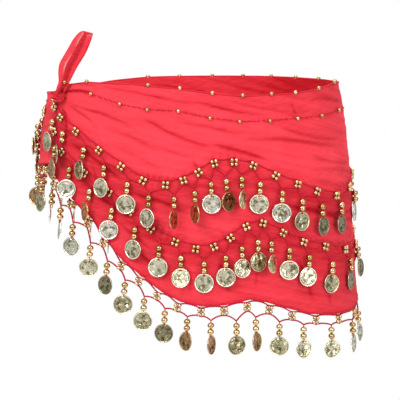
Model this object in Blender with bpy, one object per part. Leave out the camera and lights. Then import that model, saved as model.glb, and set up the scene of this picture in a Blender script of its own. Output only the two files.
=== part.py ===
"""Belly dance hip scarf, worn once round the hips and tied at the left of the front view.

Heights are measured from the level of the top edge, lengths along the hips from the knot.
Tables are in millimetres and degrees, the finished meshes in metres.
"""
import math

import bmesh
import bpy
from mathutils import Vector

MM = 0.001

# Cloth
CLOTH = 1.6          # thickness of the cloth wall
LAP_RISE = 2.3       # how far the front end stands over the back end at the knot
COLUMNS = 84         # columns of the wrap's grid, round the hips
ROWS = 14            # rows of the wrap's grid, from top edge to hem

# The hips: half width and half depth of the cloth at each height
FORM = (
    # height, half_width, half_depth
    (70, 149.0, 102.5),
    (0, 152.0, 105.0),
    (-40, 159.0, 110.0),
    (-100, 165.0, 114.5),
    (-200, 170.5, 119.0),
    (-240, 174.5, 121.0),
    (-300, 177.0, 122.0),
)
LEVEL_WIDTH = 162.0  # half width of the oval on which lengths round the hips are measured
LEVEL_DEPTH = 112.0  # half depth of that oval
KNOT_ANGLE = -71.0   # where the knot sits, from the front middle
GIRTH = 868.0        # length once round that oval

# The top edge all round
TOP_EDGE = (
    # around, height
    (0, -10.0),
    (14, -6.0),
    (31, 3.0),
    (56, 6.5),
    (110, 6.0),
    (164, 1.8),
    (199, -3.2),
    (232, -6.0),
    (295, -4.8),
    (329, -2.0),
    (364, 2.2),
    (422, -0.5),
    (522, -0.5),
    (667, -2.0),
    (705, -4.5),
    (740, -8.0),
    (770, -11.5),
    (800, -12.0),
    (833, -10.0),
    (850, -9.5),
    (868, -11.0),
    (884, -11.0),
)

# The hem from each end to the middle of the scarf at the far hip
HEM_FRONT = (
    # around, height
    (0, -78),
    (20, -87),
    (45, -110),
    (65, -125),
    (76, -134),
    (93, -155),
    (106, -171),
    (126, -187),
    (148, -204),
    (166, -214),
    (187, -219),
    (210, -218),
    (234, -213),
    (249, -216),
    (275, -225),
    (297, -232),
    (328, -236),
    (357, -236),
    (392, -229),
    (402, -224),
    (412, -214),
    (424, -207),
    (434, -204),
)
HEM_BACK = (
    # around, height
    (-12, -80),
    (22, -84),
    (38, -84),
    (56, -84),
    (70, -85),
    (84, -89),
    (100, -97),
    (116, -108),
    (132, -121),
    (148, -135),
    (164, -148),
    (180, -160),
    (196, -172),
    (212, -184),
    (228, -194),
    (244, -202),
    (262, -207),
    (290, -208),
    (316, -205),
    (340, -206),
    (362, -209),
    (388, -210),
    (412, -208),
    (434, -204),
)

# The two end edges of the wrap, from the top edge to the hem
END_EDGES = (
    # share_of_height, front_end, back_end
    (0.0, 4.0, 886.0),
    (0.5, 6.0, 886.0),
    (0.8, 14.0, 881.0),
    (1.0, 20.0, 877.0),
)

# Soft folds, each from one place on the cloth to another
FOLDS_FRONT = (
    # from_around, from_height, to_around, to_height, depth, reach
    (134, -32, 173, -51, 1.8, 9),
    (173, -51, 250, -69, 2.4, 10),
    (233, -50, 358, -67, 2.0, 10),
    (269, -34, 360, -50, 1.6, 9),
    (30, -24, 92, -38, 2.0, 10),
    (44, -58, 112, -100, 1.6, 10),
    (126, -112, 176, -128, 2.0, 10),
    (188, -118, 262, -114, 1.8, 11),
    (272, -122, 352, -140, 2.2, 11),
    (118, -158, 150, -184, 1.6, 10),
    (206, -172, 214, -206, 1.8, 11),
    (286, -178, 300, -216, 2.0, 12),
    (366, -160, 372, -214, 2.0, 12),
)
FOLDS_BACK = (
    # from_around, from_height, to_around, to_height, depth, reach
    (28, -30, 104, -52, 2.2, 10),
    (96, -34, 196, -58, 2.0, 10),
    (170, -46, 290, -70, 2.4, 11),
    (262, -34, 372, -52, 1.8, 10),
    (60, -50, 128, -88, 1.8, 10),
    (150, -100, 240, -122, 2.2, 11),
    (250, -110, 350, -132, 1.8, 11),
    (330, -140, 336, -196, 2.2, 12),
    (196, -120, 188, -158, 1.8, 12),
    (256, -150, 262, -196, 2.0, 12),
    (404, -140, 398, -196, 1.8, 12),
)

# Bead clusters and the coin drop that hangs after each, from a scarf end to its middle
ROW_UPPER = (
    # around, height, drop_around, drop_height, turn, lean
    (14, -21, 18, -31, -9, -2),
    (27, -31, 35, -42, -38, 0),
    (50, -44, 63, -57, -29, -2),
    (79, -62, 87, -74, -19, 0),
    (105, -77, 113, -90, 14, -1),
    (128, -91, 135, -103, -32, -1),
    (151, -95, 160, -104, 70, 0),
    (169, -90, 180, -98, -64, 1),
    (184, -82, 197, -89, 0, 1),
    (200, -73, 211, -86, 38, 2),
    (220, -72, 227, -84, 58, -1),
    (240, -76, 246, -90, -14, -3),
    (263, -87, 269, -100, -18, -3),
    (287, -97, 291, -110, 9, -2),
    (311, -106, 315, -117, 14, 0),
    (339, -113, 344, -118, 7, 0),
    (369, -107, 384, -110, 0, -2),
    (399, -95, 417, -98, 0, 0),
)
ROW_UPPER_BACK = (
    # around, height, drop_around, drop_height, turn, lean
    (27, -31, 36, -41, 0, 0),
    (47, -29, 59, -37, 0, 0),
    (70, -28, 82, -38, -8, 0),
    (93, -35, 105, -48, 12, 0),
    (116, -47, 128, -61, -20, -1),
    (139, -58, 151, -71, 34, 0),
    (162, -67, 174, -79, -12, 1),
    (186, -73, 198, -84, 18, 0),
    (210, -77, 222, -88, -40, 0),
    (234, -81, 247, -92, 8, -1),
    (259, -85, 272, -96, -16, 0),
    (285, -88, 298, -98, 26, 0),
    (311, -89, 324, -99, 0, 1),
    (337, -90, 350, -100, -30, 0),
    (363, -91, 376, -101, 14, 0),
    (388, -92, 399, -102, -6, 0),
    (409, -93, 420, -100, 20, 0),
)
ROW_LOWER = (
    # around, height, drop_around, drop_height, turn, lean
    (20, -46, 25, -58, -20, 0),
    (34, -66, 47, -78, 27, 0),
    (64, -86, 73, -99, -39, -4),
    (93, -104, 98, -117, 22, -4),
    (116, -123, 122, -136, -20, -3),
    (137, -140, 146, -154, 8, -2),
    (161, -153, 167, -164, 25, -1),
    (181, -160, 189, -170, 0, 0),
    (199, -158, 210, -164, -7, 0),
    (215, -149, 226, -155, 22, 0),
    (231, -138, 242, -149, 18, 0),
    (248, -135, 256, -151, 47, -2),
    (269, -146, 275, -159, -24, -3),
    (292, -157, 297, -168, -7, -3),
    (319, -164, 326, -178, -6, -3),
    (352, -171, 358, -179, 5, 0),
    (388, -170, 400, -172, -22, 0),
    (413, -158, 425, -163, 10, 0),
)
ROW_LOWER_BACK = (
    # around, height, drop_around, drop_height, turn, lean
    (34, -56, 49, -63, 0, 0),
    (59, -56, 71, -64, 0, 0),
    (82, -63, 94, -75, 14, 0),
    (105, -75, 117, -90, -10, -1),
    (128, -92, 140, -108, 24, -1),
    (151, -108, 163, -124, 0, 0),
    (174, -123, 186, -137, -34, 0),
    (198, -135, 210, -148, 12, 0),
    (222, -145, 235, -157, -8, 1),
    (247, -151, 260, -162, 30, 0),
    (273, -153, 286, -163, -18, 0),
    (299, -151, 312, -160, 0, 0),
    (325, -149, 338, -159, 22, 0),
    (351, -150, 364, -161, -26, 0),
    (376, -152, 388, -162, 6, 0),
    (400, -152, 412, -161, -12, 0),
)
FRINGE_FRONT = (
    # around, height, drop_around, drop_height, turn, lean
    (27, -99, 34.5, -122, -35, -1),
    (46.5, -118, 51, -138, 8, -2),
    (68, -138, 72.5, -158, 22, -2),
    (86.5, -157, 92, -175, -19, -2),
    (106.5, -177, 111, -194, 10, -2),
    (125, -193, 131, -210, 0, -1),
    (143.5, -207, 151.5, -222, -8, -1),
    (163.5, -218, 173, -230, -50, -1),
    (186, -224, 195.5, -234, 62, -1),
    (208.5, -224, 220, -235, 18, 0),
    (231, -221, 239, -232, 48, 0),
    (253, -224, 263, -238, -14, -1),
    (276.5, -231, 289, -243, 4, -1),
    (303.5, -237, 323.5, -247, -14, 0),
    (335, -241, 361.5, -247, 6, 1),
    (369, -238, 397, -241, -20, 0),
    (406, -227, 419, -222, -10, 0),
)
FRINGE_BACK = (
    # around, height, drop_around, drop_height, turn, lean
    (1, -88, 8, -98, -10, 0),
    (26, -90, 37, -95, -58, 0),
    (44, -90, 52, -96, -11, 0),
    (59, -90, 66, -97, -20, 0),
    (76, -93, 86, -101, -32, 0),
    (94, -100, 100.5, -110, -40, 0),
    (110, -110, 119.5, -126, -49, 0),
    (131, -126, 141.5, -143, -58, 0),
    (152, -144, 162, -161, -65, 0),
    (172, -160, 181, -176, -60, 0),
    (191, -174, 203, -190, -30, 0),
    (214, -191, 226, -206, 14, 0),
    (237, -205, 250, -216, 0, 0),
    (262, -213, 275, -220, -22, 0),
    (288, -214, 301, -219, 34, 0),
    (314, -211, 327, -217, -8, 1),
    (340, -212, 353, -219, 16, 0),
    (366, -215, 380, -222, 0, 0),
    (393, -216, 411, -221, -14, 0),
)
END_DROP = (20.5, -108, -37, -1)   # the net's first drop: around, height, turn, lean
MIDDLE_UPPER = (434, -92)
MIDDLE_LOWER = (434, -150)
MIDDLE_FRINGE = (434, -210)

# Whole rows: front, back and the cluster where both meet
UPPER = (ROW_UPPER, ROW_UPPER_BACK, MIDDLE_UPPER)
LOWER = (ROW_LOWER, ROW_LOWER_BACK, MIDDLE_LOWER)
FRINGE = (FRINGE_FRONT, FRINGE_BACK, MIDDLE_FRINGE)

# One coin drop: two beads and a coin, below its thread
DROP = (
    # below, half_width, half_depth, share_of_turn
    (5.2, 2.5, 2.5, 0.34),
    (8.5, 1.0, 1.0, 0.67),
    (11.8, 2.5, 2.5, 1.0),
    (15.6, 3.6, 0.6, 1.0),
    (20.8, 9.4, 0.6, 1.0),
    (28.4, 9.4, 0.6, 1.0),
    (34.0, 4.0, 0.6, 1.0),
)
COIN_HALF = 9.4      # half the coin's width
THREAD = 1.6         # thickness of the thread strips
STRIP_STAND = 2.4    # thread strip's middle over the cloth's middle
BEAD_STAND = 4.9     # bead's middle over the hips' oval
COIN_STAND = 2.7     # coin's middle over the hips' oval
CLUSTER_HALF = 2.4   # half width of a cluster in the hem net
DROP_HALF = 1.3      # half width of a coin drop's root
LONG_SPAN = 14.0     # a thread strip longer than this gets a point half way, to follow the cloth
ROW_ROOM = 2.6       # least way along the thread between a cluster's middle and a drop's root
NET_ROOM = 1.0       # least way along the thread between a cluster's side and a drop's root
OVER_LEAST = 1.6     # how much further out a coin stands that just reaches the row below
OVER_MOST = 4.5      # the same for one that lies well over it

# The tied end above the knot, a folded strip open to the front
TIED_END = (
    # height, left, right, back_depth, lip_depth
    (-4.2, -142.0, -134.5, 3.0, 3.0),
    (1.0, -140.6, -130.2, 3.0, 3.0),
    (7.0, -139.4, -127.6, 4.0, 3.5),
    (17.0, -139.2, -122.6, 6.5, 4.5),
    (25.5, -138.0, -117.2, 7.0, 5.0),
    (34.0, -133.6, -111.6, 7.0, 5.0),
    (42.5, -128.0, -107.2, 6.0, 4.5),
    (51.5, -122.4, -104.6, 5.0, 4.0),
    (57.0, -116.2, -103.8, 3.0, 2.0),
)
TIED_SECTION = (
    # share_of_width, share_of_depth
    (0.42, -0.75),
    (0.20, -1.0),
    (0.02, -0.6),
    (0.05, 0.2),
    (0.30, 0.9),
    (0.65, 1.0),
    (0.92, 0.45),
    (1.0, -0.2),
)
TIED_DEPTH = -64.0   # how far in front of the middle the tied end stands

# The knot
KNOT_AROUND = 20.0
KNOT_HEIGHT = -9.7
KNOT_STAND = 8.7
KNOT_HALF = (8.6, 7.4, 5.4)   # half sizes along the hips, upward and outward
KNOT_CREASE = 0.12            # depth of its creases, as a share of its size

MATERIALS = (
    # name, red, green, blue, roughness, metallic
    ("chiffon", 0.80, 0.05, 0.08, 0.75, 0.0),
    ("tied_chiffon", 0.70, 0.03, 0.06, 0.75, 0.0),
    ("coin_trim", 0.83, 0.70, 0.42, 0.35, 1.0),
)


def between(table, place, column=1):
    """Read a table's column at a place, in straight steps between its rows."""
    rows = sorted(table)
    if place <= rows[0][0]:
        return rows[0][column]
    for low, high in zip(rows, rows[1:]):
        if place <= high[0]:
            share = (place - low[0]) / (high[0] - low[0])
            return low[column] + share * (high[column] - low[column])
    return rows[-1][column]


def measure_oval(steps=1440):
    """List angle and length round the oval, from the knot on, for one turn and a half."""
    rows = [(0.0, math.radians(KNOT_ANGLE))]
    step = 3.0 * math.pi / steps
    length = 0.0
    for number in range(steps):
        angle = rows[0][1] + (number + 0.5) * step
        length += step * math.hypot(LEVEL_WIDTH * math.cos(angle), LEVEL_DEPTH * math.sin(angle))
        rows.append((length, angle + step / 2))
    return rows


OVAL = measure_oval()
OVAL_STEP = 3.0 * math.pi / 1440


def angle_at(around):
    """Angle from the front middle of a length round the hips."""
    if around < 0:
        return math.radians(KNOT_ANGLE) + around / math.hypot(
            LEVEL_WIDTH * math.cos(math.radians(KNOT_ANGLE)),
            LEVEL_DEPTH * math.sin(math.radians(KNOT_ANGLE)))
    low = 0
    high = len(OVAL) - 1
    while high - low > 1:
        middle = (low + high) // 2
        if OVAL[middle][0] <= around:
            low = middle
        else:
            high = middle
    share = (around - OVAL[low][0]) / (OVAL[high][0] - OVAL[low][0])
    return OVAL[low][1] + share * OVAL_STEP


def facing_at(around, height):
    """Angle from the front middle that the cloth faces at a place."""
    angle = angle_at(around)
    return math.atan2(between(FORM, height, 2) * math.sin(angle), between(FORM, height, 1) * math.cos(angle))


def on_hips(around, height, out):
    """A point that stands out from the hips' oval."""
    angle = angle_at(around)
    facing = facing_at(around, height)
    width = between(FORM, height, 1)
    depth = between(FORM, height, 2)
    normal = Vector((math.sin(facing), -math.cos(facing), 0))
    return Vector((width * math.sin(angle), -depth * math.cos(angle), height)) + normal * out


def ease(value):
    """Go softly from 0 to 1."""
    value = min(1.0, max(0.0, value))
    return value * value * (3 - 2 * value)


def fold_depth(around, height):
    """How far the soft folds press the cloth in at a place."""
    table = FOLDS_FRONT
    if around > GIRTH / 2:
        table = FOLDS_BACK
        around = GIRTH - around
    pressed = 0.0
    for from_around, from_height, to_around, to_height, depth, reach in table:
        run = to_around - from_around
        rise = to_height - from_height
        share = ((around - from_around) * run + (height - from_height) * rise) / (run * run + rise * rise)
        share = min(1.0, max(0.0, share))
        away = math.hypot(around - from_around - share * run, height - from_height - share * rise)
        pressed += depth * math.exp(-(away / reach) ** 2)
    return min(3.4, pressed)


def lap_rise(around):
    """How far the front end stands out over the back end."""
    return LAP_RISE * (1 - ease((around - 24) / 50))


def on_cloth(around, height, out=0.0):
    """A point of the worn cloth, moved out from its middle."""
    folded = fold_depth(around, height) * ease((around - 20) / 20)
    return on_hips(around, height, out + lap_rise(around) - folded)


def top_at(around):
    """Height of the top edge."""
    return between(TOP_EDGE, around)


def hem_at(around):
    """Height of the hem."""
    if around <= GIRTH / 2:
        return between(HEM_FRONT, around)
    return between(HEM_BACK, GIRTH - around)


def wrap_point(across, down):
    """A point of the wrap by its shares of the way round and of the way down."""
    front_end = between(END_EDGES, down, 1)
    back_end = between(END_EDGES, down, 2)
    around = front_end + across * (back_end - front_end)
    top = top_at(around)
    return on_cloth(around, top + down * (hem_at(around) - top))


def shell(grid, thickness):
    """Make a wall from a grid of its middle points."""
    rows = len(grid)
    columns = len(grid[0])
    points = []
    for side in (0.5, -0.5):
        for row in range(rows):
            for column in range(columns):
                left = grid[row][max(0, column - 1)]
                right = grid[row][min(columns - 1, column + 1)]
                above = grid[max(0, row - 1)][column]
                below = grid[min(rows - 1, row + 1)][column]
                normal = (below - above).cross(right - left).normalized()
                points.append(grid[row][column] + normal * (side * thickness))
    half = rows * columns
    faces = []
    for row in range(rows - 1):
        for column in range(columns - 1):
            corner = row * columns + column
            face = (corner, corner + columns, corner + columns + 1, corner + 1)
            faces.append(face)
            faces.append(tuple(half + index for index in reversed(face)))
    rim = [column for column in range(columns)]
    rim += [row * columns + columns - 1 for row in range(1, rows)]
    rim += [(rows - 1) * columns + column for column in range(columns - 2, -1, -1)]
    rim += [row * columns for row in range(rows - 2, 0, -1)]
    for start, end in zip(rim, rim[1:] + rim[:1]):
        faces.append((start, end, half + end, half + start))
    return points, faces


class Body:
    """Points and faces of one closed solid while it is put together."""

    def __init__(self):
        self.points = []
        self.faces = []

    def ring(self, corners):
        """Add points and give their numbers."""
        first = len(self.points)
        self.points.extend(corners)
        return tuple(range(first, first + len(corners)))

    def band(self, start, end, leave_out=()):
        """Join two rings of equal length, but for the sides left out."""
        count = len(start)
        for side in range(count):
            if side not in leave_out:
                after = (side + 1) % count
                self.faces.append((start[side], start[after], end[after], end[side]))


def thread_ring(around, height, half_height, place):
    """Inner top, outer top, outer bottom and inner bottom of a thread strip."""
    return [
        place(around, height + half_height, -THREAD / 2),
        place(around, height + half_height, THREAD / 2),
        place(around, height - half_height, THREAD / 2),
        place(around, height - half_height, -THREAD / 2),
    ]


def add_drop(body, root, around, height, turn, lean, on_wrap, lift=0.0):
    """Grow two beads and a coin from four root points: inner left, outer left, outer right, inner right."""
    last = root
    full = math.radians(turn)
    for below, half_width, half_depth, share in DROP:
        gone = below / DROP[-1][0]
        beside = around + lean * gone
        angle = facing_at(beside, height) + full * share
        out = lap_rise(beside)
        if on_wrap:
            ready = ease((below - 11.8) / 9.0)
            coin_stand = COIN_STAND + lift + COIN_HALF * abs(math.sin(full))
            out += BEAD_STAND + ready * (coin_stand - BEAD_STAND)
        middle = on_hips(beside, height - below, out)
        along = Vector((math.cos(angle), math.sin(angle), 0)) * half_width
        outward = Vector((math.sin(angle), -math.cos(angle), 0)) * half_depth
        ring = body.ring([middle - along - outward, middle - along + outward,
                          middle + along + outward, middle + along - outward])
        body.band(last, ring)
        last = ring
    body.faces.append(tuple(last))


def full_row(front, back, middle):
    """List a whole row from the front end to the back end: clusters, and the drops between them."""
    clusters = [(row[0], row[1]) for row in front]
    clusters.append(middle)
    clusters += [(GIRTH - row[0], row[1]) for row in reversed(back)]
    drops = [row[2:] for row in front]
    drops += [(GIRTH - row[2], row[3], -row[4], -row[5]) for row in reversed(back)]
    return clusters, drops


def keep_room(hang, before, after, room):
    """Hold a drop clear of the clusters on both sides."""
    return min(max(hang, before + room), after - room)


def coin_row(row, row_below=None):
    """A thread strip that zigzags over the cloth, with its coin drops."""
    clusters, drops = full_row(*row)
    body = Body()
    last = None
    last_place = None

    def place(around, height, out):
        return on_cloth(around, height, STRIP_STAND + out)

    def lead(ring, from_place, to_place):
        """Run the strip from a ring to a place, with a point half way where it is long."""
        if to_place[0] - from_place[0] > LONG_SPAN:
            middle_place = ((from_place[0] + to_place[0]) / 2, (from_place[1] + to_place[1]) / 2)
            between_them = body.ring(thread_ring(*middle_place, 1.0, place))
            body.band(ring, between_them)
            ring = between_them
        after = body.ring(thread_ring(*to_place, 1.0, place))
        body.band(ring, after)
        return after

    for number, (around, height) in enumerate(clusters):
        if last is None:
            last = body.ring(thread_ring(around, height - 4.0, 1.0, place))
            body.faces.append(tuple(reversed(last)))
        else:
            last = lead(last, last_place, (around, height - 4.0))
        if number < len(drops):
            hang, level, turn, lean = drops[number]
            hang = keep_room(hang, around, clusters[number + 1][0], ROW_ROOM + DROP_HALF)
            left = lead(last, (around, height - 4.0), (hang - DROP_HALF, level))
            right = body.ring(thread_ring(hang + DROP_HALF, level, 1.0, place))
            body.band(left, right, (2,))
            lift = 0.0
            if row_below:
                passed = between(full_row(*row_below)[0], hang) - (level - DROP[-1][0])
                if passed > -9.0:
                    lift = min(OVER_MOST, max(OVER_LEAST, 0.3 * passed))
            add_drop(body, (left[3], left[2], right[2], right[3]), hang, level, turn, lean, True, lift)
            last = right
            last_place = (hang + DROP_HALF, level)
    body.faces.append(tuple(last))
    return body.points, body.faces


def net_top(around):
    """Height of the net's upper thread, clear of the hem on its slopes."""
    return min(hem_at(around - 3), hem_at(around), hem_at(around + 3)) - 2.0


def hem_net():
    """The crochet net along the hem: an upper and a lower thread, clusters between, and coin drops."""
    clusters, drops = full_row(*FRINGE)
    body = Body()
    upper = None

    def place(around, height, out):
        return on_cloth(around, height, out)

    def hang_drop(hang, level, turn, lean):
        """Add a drop and its root, and give the root's two ends."""
        left = body.ring(thread_ring(hang - DROP_HALF, level, 0.8, place))
        right = body.ring(thread_ring(hang + DROP_HALF, level, 0.8, place))
        body.band(left, right, (2,))
        add_drop(body, (left[3], left[2], right[2], right[3]), hang, level, turn, lean, False)
        return left, right

    first, lower = hang_drop(*END_DROP)
    body.faces.append(tuple(reversed(first)))
    for number, (around, height) in enumerate(clusters):
        sides = []
        for edge in (around - CLUSTER_HALF, around + CLUSTER_HALF):
            top = min(net_top(edge), height + 4.6)
            sides.append((
                body.ring(thread_ring(edge, top, 0.8, place)),
                body.ring(thread_ring(edge, top - 7.6, 0.8, place)),
            ))
        (left_top, left_low), (right_top, right_low) = sides
        if upper is None:
            body.faces.append(tuple(reversed(left_top)))
        else:
            body.band(upper, left_top)
        body.band(lower, left_low)
        body.band(left_top, right_top, (2,))
        body.band(left_low, right_low, (0,))
        body.faces.append((left_top[3], right_top[3], right_low[0], left_low[0]))
        body.faces.append((left_top[2], left_low[1], right_low[1], right_top[2]))
        body.faces.append((left_top[2], left_top[3], left_low[0], left_low[1]))
        body.faces.append((right_top[3], right_top[2], right_low[1], right_low[0]))
        upper = right_top
        lower = right_low
        if number < len(drops):
            hang, level, turn, lean = drops[number]
            hang = keep_room(hang, around, clusters[number + 1][0], CLUSTER_HALF + NET_ROOM + DROP_HALF)
            left, right = hang_drop(hang, level, turn, lean)
            body.band(lower, left)
            lower = right
            half_way = (around + clusters[number + 1][0]) / 2
            between_them = body.ring(thread_ring(half_way, net_top(half_way), 0.8, place))
            body.band(upper, between_them)
            upper = between_them
    body.faces.append(tuple(upper))
    body.faces.append(tuple(lower))
    return body.points, body.faces


def knot():
    """A small creased ball that stands over the lap."""
    around_steps = 14
    up_steps = 8
    centre = on_hips(KNOT_AROUND, KNOT_HEIGHT, KNOT_STAND)
    angle = facing_at(KNOT_AROUND, KNOT_HEIGHT)
    along = Vector((math.cos(angle), math.sin(angle), 0))
    outward = Vector((math.sin(angle), -math.cos(angle), 0))
    points = []
    for level in range(1, up_steps):
        tilt = math.pi * level / up_steps
        for step in range(around_steps):
            turn = 2 * math.pi * step / around_steps
            crease = 1 - KNOT_CREASE * (0.5 + 0.5 * math.cos(3 * turn + 2 * tilt))
            points.append(centre + crease * (
                along * (KNOT_HALF[0] * math.cos(tilt))
                + Vector((0, 0, 1)) * (KNOT_HALF[1] * math.sin(tilt) * math.cos(turn))
                + outward * (KNOT_HALF[2] * math.sin(tilt) * math.sin(turn))))
    faces = []
    for level in range(up_steps - 2):
        for step in range(around_steps):
            corner = level * around_steps + step
            beside = level * around_steps + (step + 1) % around_steps
            faces.append((corner, beside, beside + around_steps, corner + around_steps))
    points.append(centre + along * KNOT_HALF[0])
    points.append(centre - along * KNOT_HALF[0])
    last = (up_steps - 2) * around_steps
    for step in range(around_steps):
        after = (step + 1) % around_steps
        faces.append((len(points) - 2, after, step))
        faces.append((len(points) - 1, last + step, last + after))
    return points, faces


def tied_end():
    """The folded strip above the knot."""
    grid = []
    for height, left, right, back_depth, lip_depth in reversed(TIED_END):
        row = []
        for share, depth in TIED_SECTION:
            reach = back_depth if depth > 0 else lip_depth
            row.append(Vector((left + share * (right - left), TIED_DEPTH + depth * reach, height)))
        grid.append(row)
    return shell(grid, CLOTH)


def wrap():
    """The length of cloth wound once round the hips."""
    grid = []
    for row in range(ROWS + 1):
        grid.append([wrap_point(column / COLUMNS, row / ROWS) for column in range(COLUMNS + 1)])
    return shell(grid, CLOTH)


def add_object(name, shape, material):
    """Turn points and faces into a closed body that faces out."""
    points, faces = shape
    mesh = bpy.data.meshes.new(name)
    mesh.from_pydata([point * MM for point in points], [], faces)
    build = bmesh.new()
    build.from_mesh(mesh)
    bmesh.ops.triangulate(build, faces=build.faces[:])
    bmesh.ops.recalc_face_normals(build, faces=build.faces[:])
    build.to_mesh(mesh)
    build.free()
    mesh.materials.append(material)
    thing = bpy.data.objects.new(name, mesh)
    bpy.context.scene.collection.objects.link(thing)
    return thing


def add_material(name, red, green, blue, roughness, metallic):
    """A plain surface in one colour."""
    material = bpy.data.materials.new(name)
    material.use_nodes = True
    shader = material.node_tree.nodes["Principled BSDF"]
    shader.inputs["Base Color"].default_value = (red, green, blue, 1)
    shader.inputs["Roughness"].default_value = roughness
    shader.inputs["Metallic"].default_value = metallic
    return material


for old in list(bpy.data.objects):
    bpy.data.objects.remove(old)

SOLIDS = (
    # name, shape, material row
    ("wrap", wrap, 0),
    ("knot", knot, 1),
    ("tied_end", tied_end, 1),
    ("coin_row_upper", lambda: coin_row(UPPER, LOWER), 2),
    ("coin_row_lower", lambda: coin_row(LOWER), 2),
    ("hem_fringe", hem_net, 2),
)
for solid_name, make_shape, surface in SOLIDS:
    row = MATERIALS[surface]
    add_object(solid_name, make_shape(), add_material(row[0] + "_" + solid_name, *row[1:]))
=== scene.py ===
"""Looks of the belly dance hip scarf: chiffon, knot, tied end, crochet threads, beads and coins.

Heights are measured from the level of the top edge, lengths along the hips from the knot.
Tables are in millimetres and degrees, the finished meshes in metres.
"""

import math

import bmesh
import bpy
import numpy as np
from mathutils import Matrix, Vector


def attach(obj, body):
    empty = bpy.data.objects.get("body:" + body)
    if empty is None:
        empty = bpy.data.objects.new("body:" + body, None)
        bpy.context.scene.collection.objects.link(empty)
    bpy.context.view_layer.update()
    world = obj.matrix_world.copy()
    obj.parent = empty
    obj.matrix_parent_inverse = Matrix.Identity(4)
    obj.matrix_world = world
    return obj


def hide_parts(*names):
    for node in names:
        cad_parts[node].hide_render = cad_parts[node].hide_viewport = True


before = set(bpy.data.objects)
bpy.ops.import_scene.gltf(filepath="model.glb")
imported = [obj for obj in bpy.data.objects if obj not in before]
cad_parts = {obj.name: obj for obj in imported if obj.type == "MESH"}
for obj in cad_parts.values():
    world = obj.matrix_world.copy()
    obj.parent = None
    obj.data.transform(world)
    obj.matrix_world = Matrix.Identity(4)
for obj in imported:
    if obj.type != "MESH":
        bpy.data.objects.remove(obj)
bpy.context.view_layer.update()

MM = 0.001

# Cloth, as in the part
CLOTH = 1.6          # thickness of the part's wall
FINE_CLOTH = 0.8     # thickness of the wall that shows
LAP_RISE = 2.3       # how far the front end stands over the back end at the knot
LAP_END = 24         # where that rise begins to fade
LAP_FADE = 50
FLAT_END = 20        # the cloth has no folds up to here
FLAT_FADE = 20
FOLD_MOST = 3.4      # depth that folds together don't pass
WRAP_COLUMNS = 430   # columns of the fine wrap's grid, round the hips
WRAP_ROWS = 104      # rows of that grid, from top edge to hem

FORM = (
    # height, half_width, half_depth
    (70, 149.0, 102.5), (0, 152.0, 105.0), (-40, 159.0, 110.0), (-100, 165.0, 114.5), (-200, 170.5, 119.0),
    (-240, 174.5, 121.0), (-300, 177.0, 122.0),
)
LEVEL_WIDTH = 162.0  # half width of the oval on which lengths round the hips are measured
LEVEL_DEPTH = 112.0  # half depth of that oval
KNOT_ANGLE = -71.0   # where the knot sits, from the front middle
GIRTH = 868.0        # length once round that oval

TOP_EDGE = (
    # around, height
    (0, -10.0), (14, -6.0), (31, 3.0), (56, 6.5), (110, 6.0), (164, 1.8), (199, -3.2), (232, -6.0),
    (295, -4.8), (329, -2.0), (364, 2.2), (422, -0.5), (522, -0.5), (667, -2.0), (705, -4.5), (740, -8.0),
    (770, -11.5), (800, -12.0), (833, -10.0), (850, -9.5), (868, -11.0), (884, -11.0),
)
HEM_FRONT = (
    # around, height
    (0, -78), (20, -87), (45, -110), (65, -125), (76, -134), (93, -155), (106, -171), (126, -187),
    (148, -204), (166, -214), (187, -219), (210, -218), (234, -213), (249, -216), (275, -225), (297, -232),
    (328, -236), (357, -236), (392, -229), (402, -224), (412, -214), (424, -207), (434, -204),
)
HEM_BACK = (
    # around, height
    (-12, -80), (22, -84), (38, -84), (56, -84), (70, -85), (84, -89), (100, -97), (116, -108), (132, -121),
    (148, -135), (164, -148), (180, -160), (196, -172), (212, -184), (228, -194), (244, -202), (262, -207),
    (290, -208), (316, -205), (340, -206), (362, -209), (388, -210), (412, -208), (434, -204),
)
END_EDGES = (
    # share_of_height, front_end, back_end
    (0.0, 4.0, 886.0), (0.5, 6.0, 886.0), (0.8, 14.0, 881.0), (1.0, 20.0, 877.0),
)
FOLDS_FRONT = (
    # from_around, from_height, to_around, to_height, depth, reach
    (134, -32, 173, -51, 1.8, 9), (173, -51, 250, -69, 2.4, 10), (233, -50, 358, -67, 2.0, 10),
    (269, -34, 360, -50, 1.6, 9), (30, -24, 92, -38, 2.0, 10), (44, -58, 112, -100, 1.6, 10),
    (126, -112, 176, -128, 2.0, 10), (188, -118, 262, -114, 1.8, 11), (272, -122, 352, -140, 2.2, 11),
    (118, -158, 150, -184, 1.6, 10), (206, -172, 214, -206, 1.8, 11), (286, -178, 300, -216, 2.0, 12),
    (366, -160, 372, -214, 2.0, 12),
)
FOLDS_BACK = (
    # from_around, from_height, to_around, to_height, depth, reach
    (28, -30, 104, -52, 2.2, 10), (96, -34, 196, -58, 2.0, 10), (170, -46, 290, -70, 2.4, 11),
    (262, -34, 372, -52, 1.8, 10), (60, -50, 128, -88, 1.8, 10), (150, -100, 240, -122, 2.2, 11),
    (250, -110, 350, -132, 1.8, 11), (330, -140, 336, -196, 2.2, 12), (196, -120, 188, -158, 1.8, 12),
    (256, -150, 262, -196, 2.0, 12), (404, -140, 398, -196, 1.8, 12),
)

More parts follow.
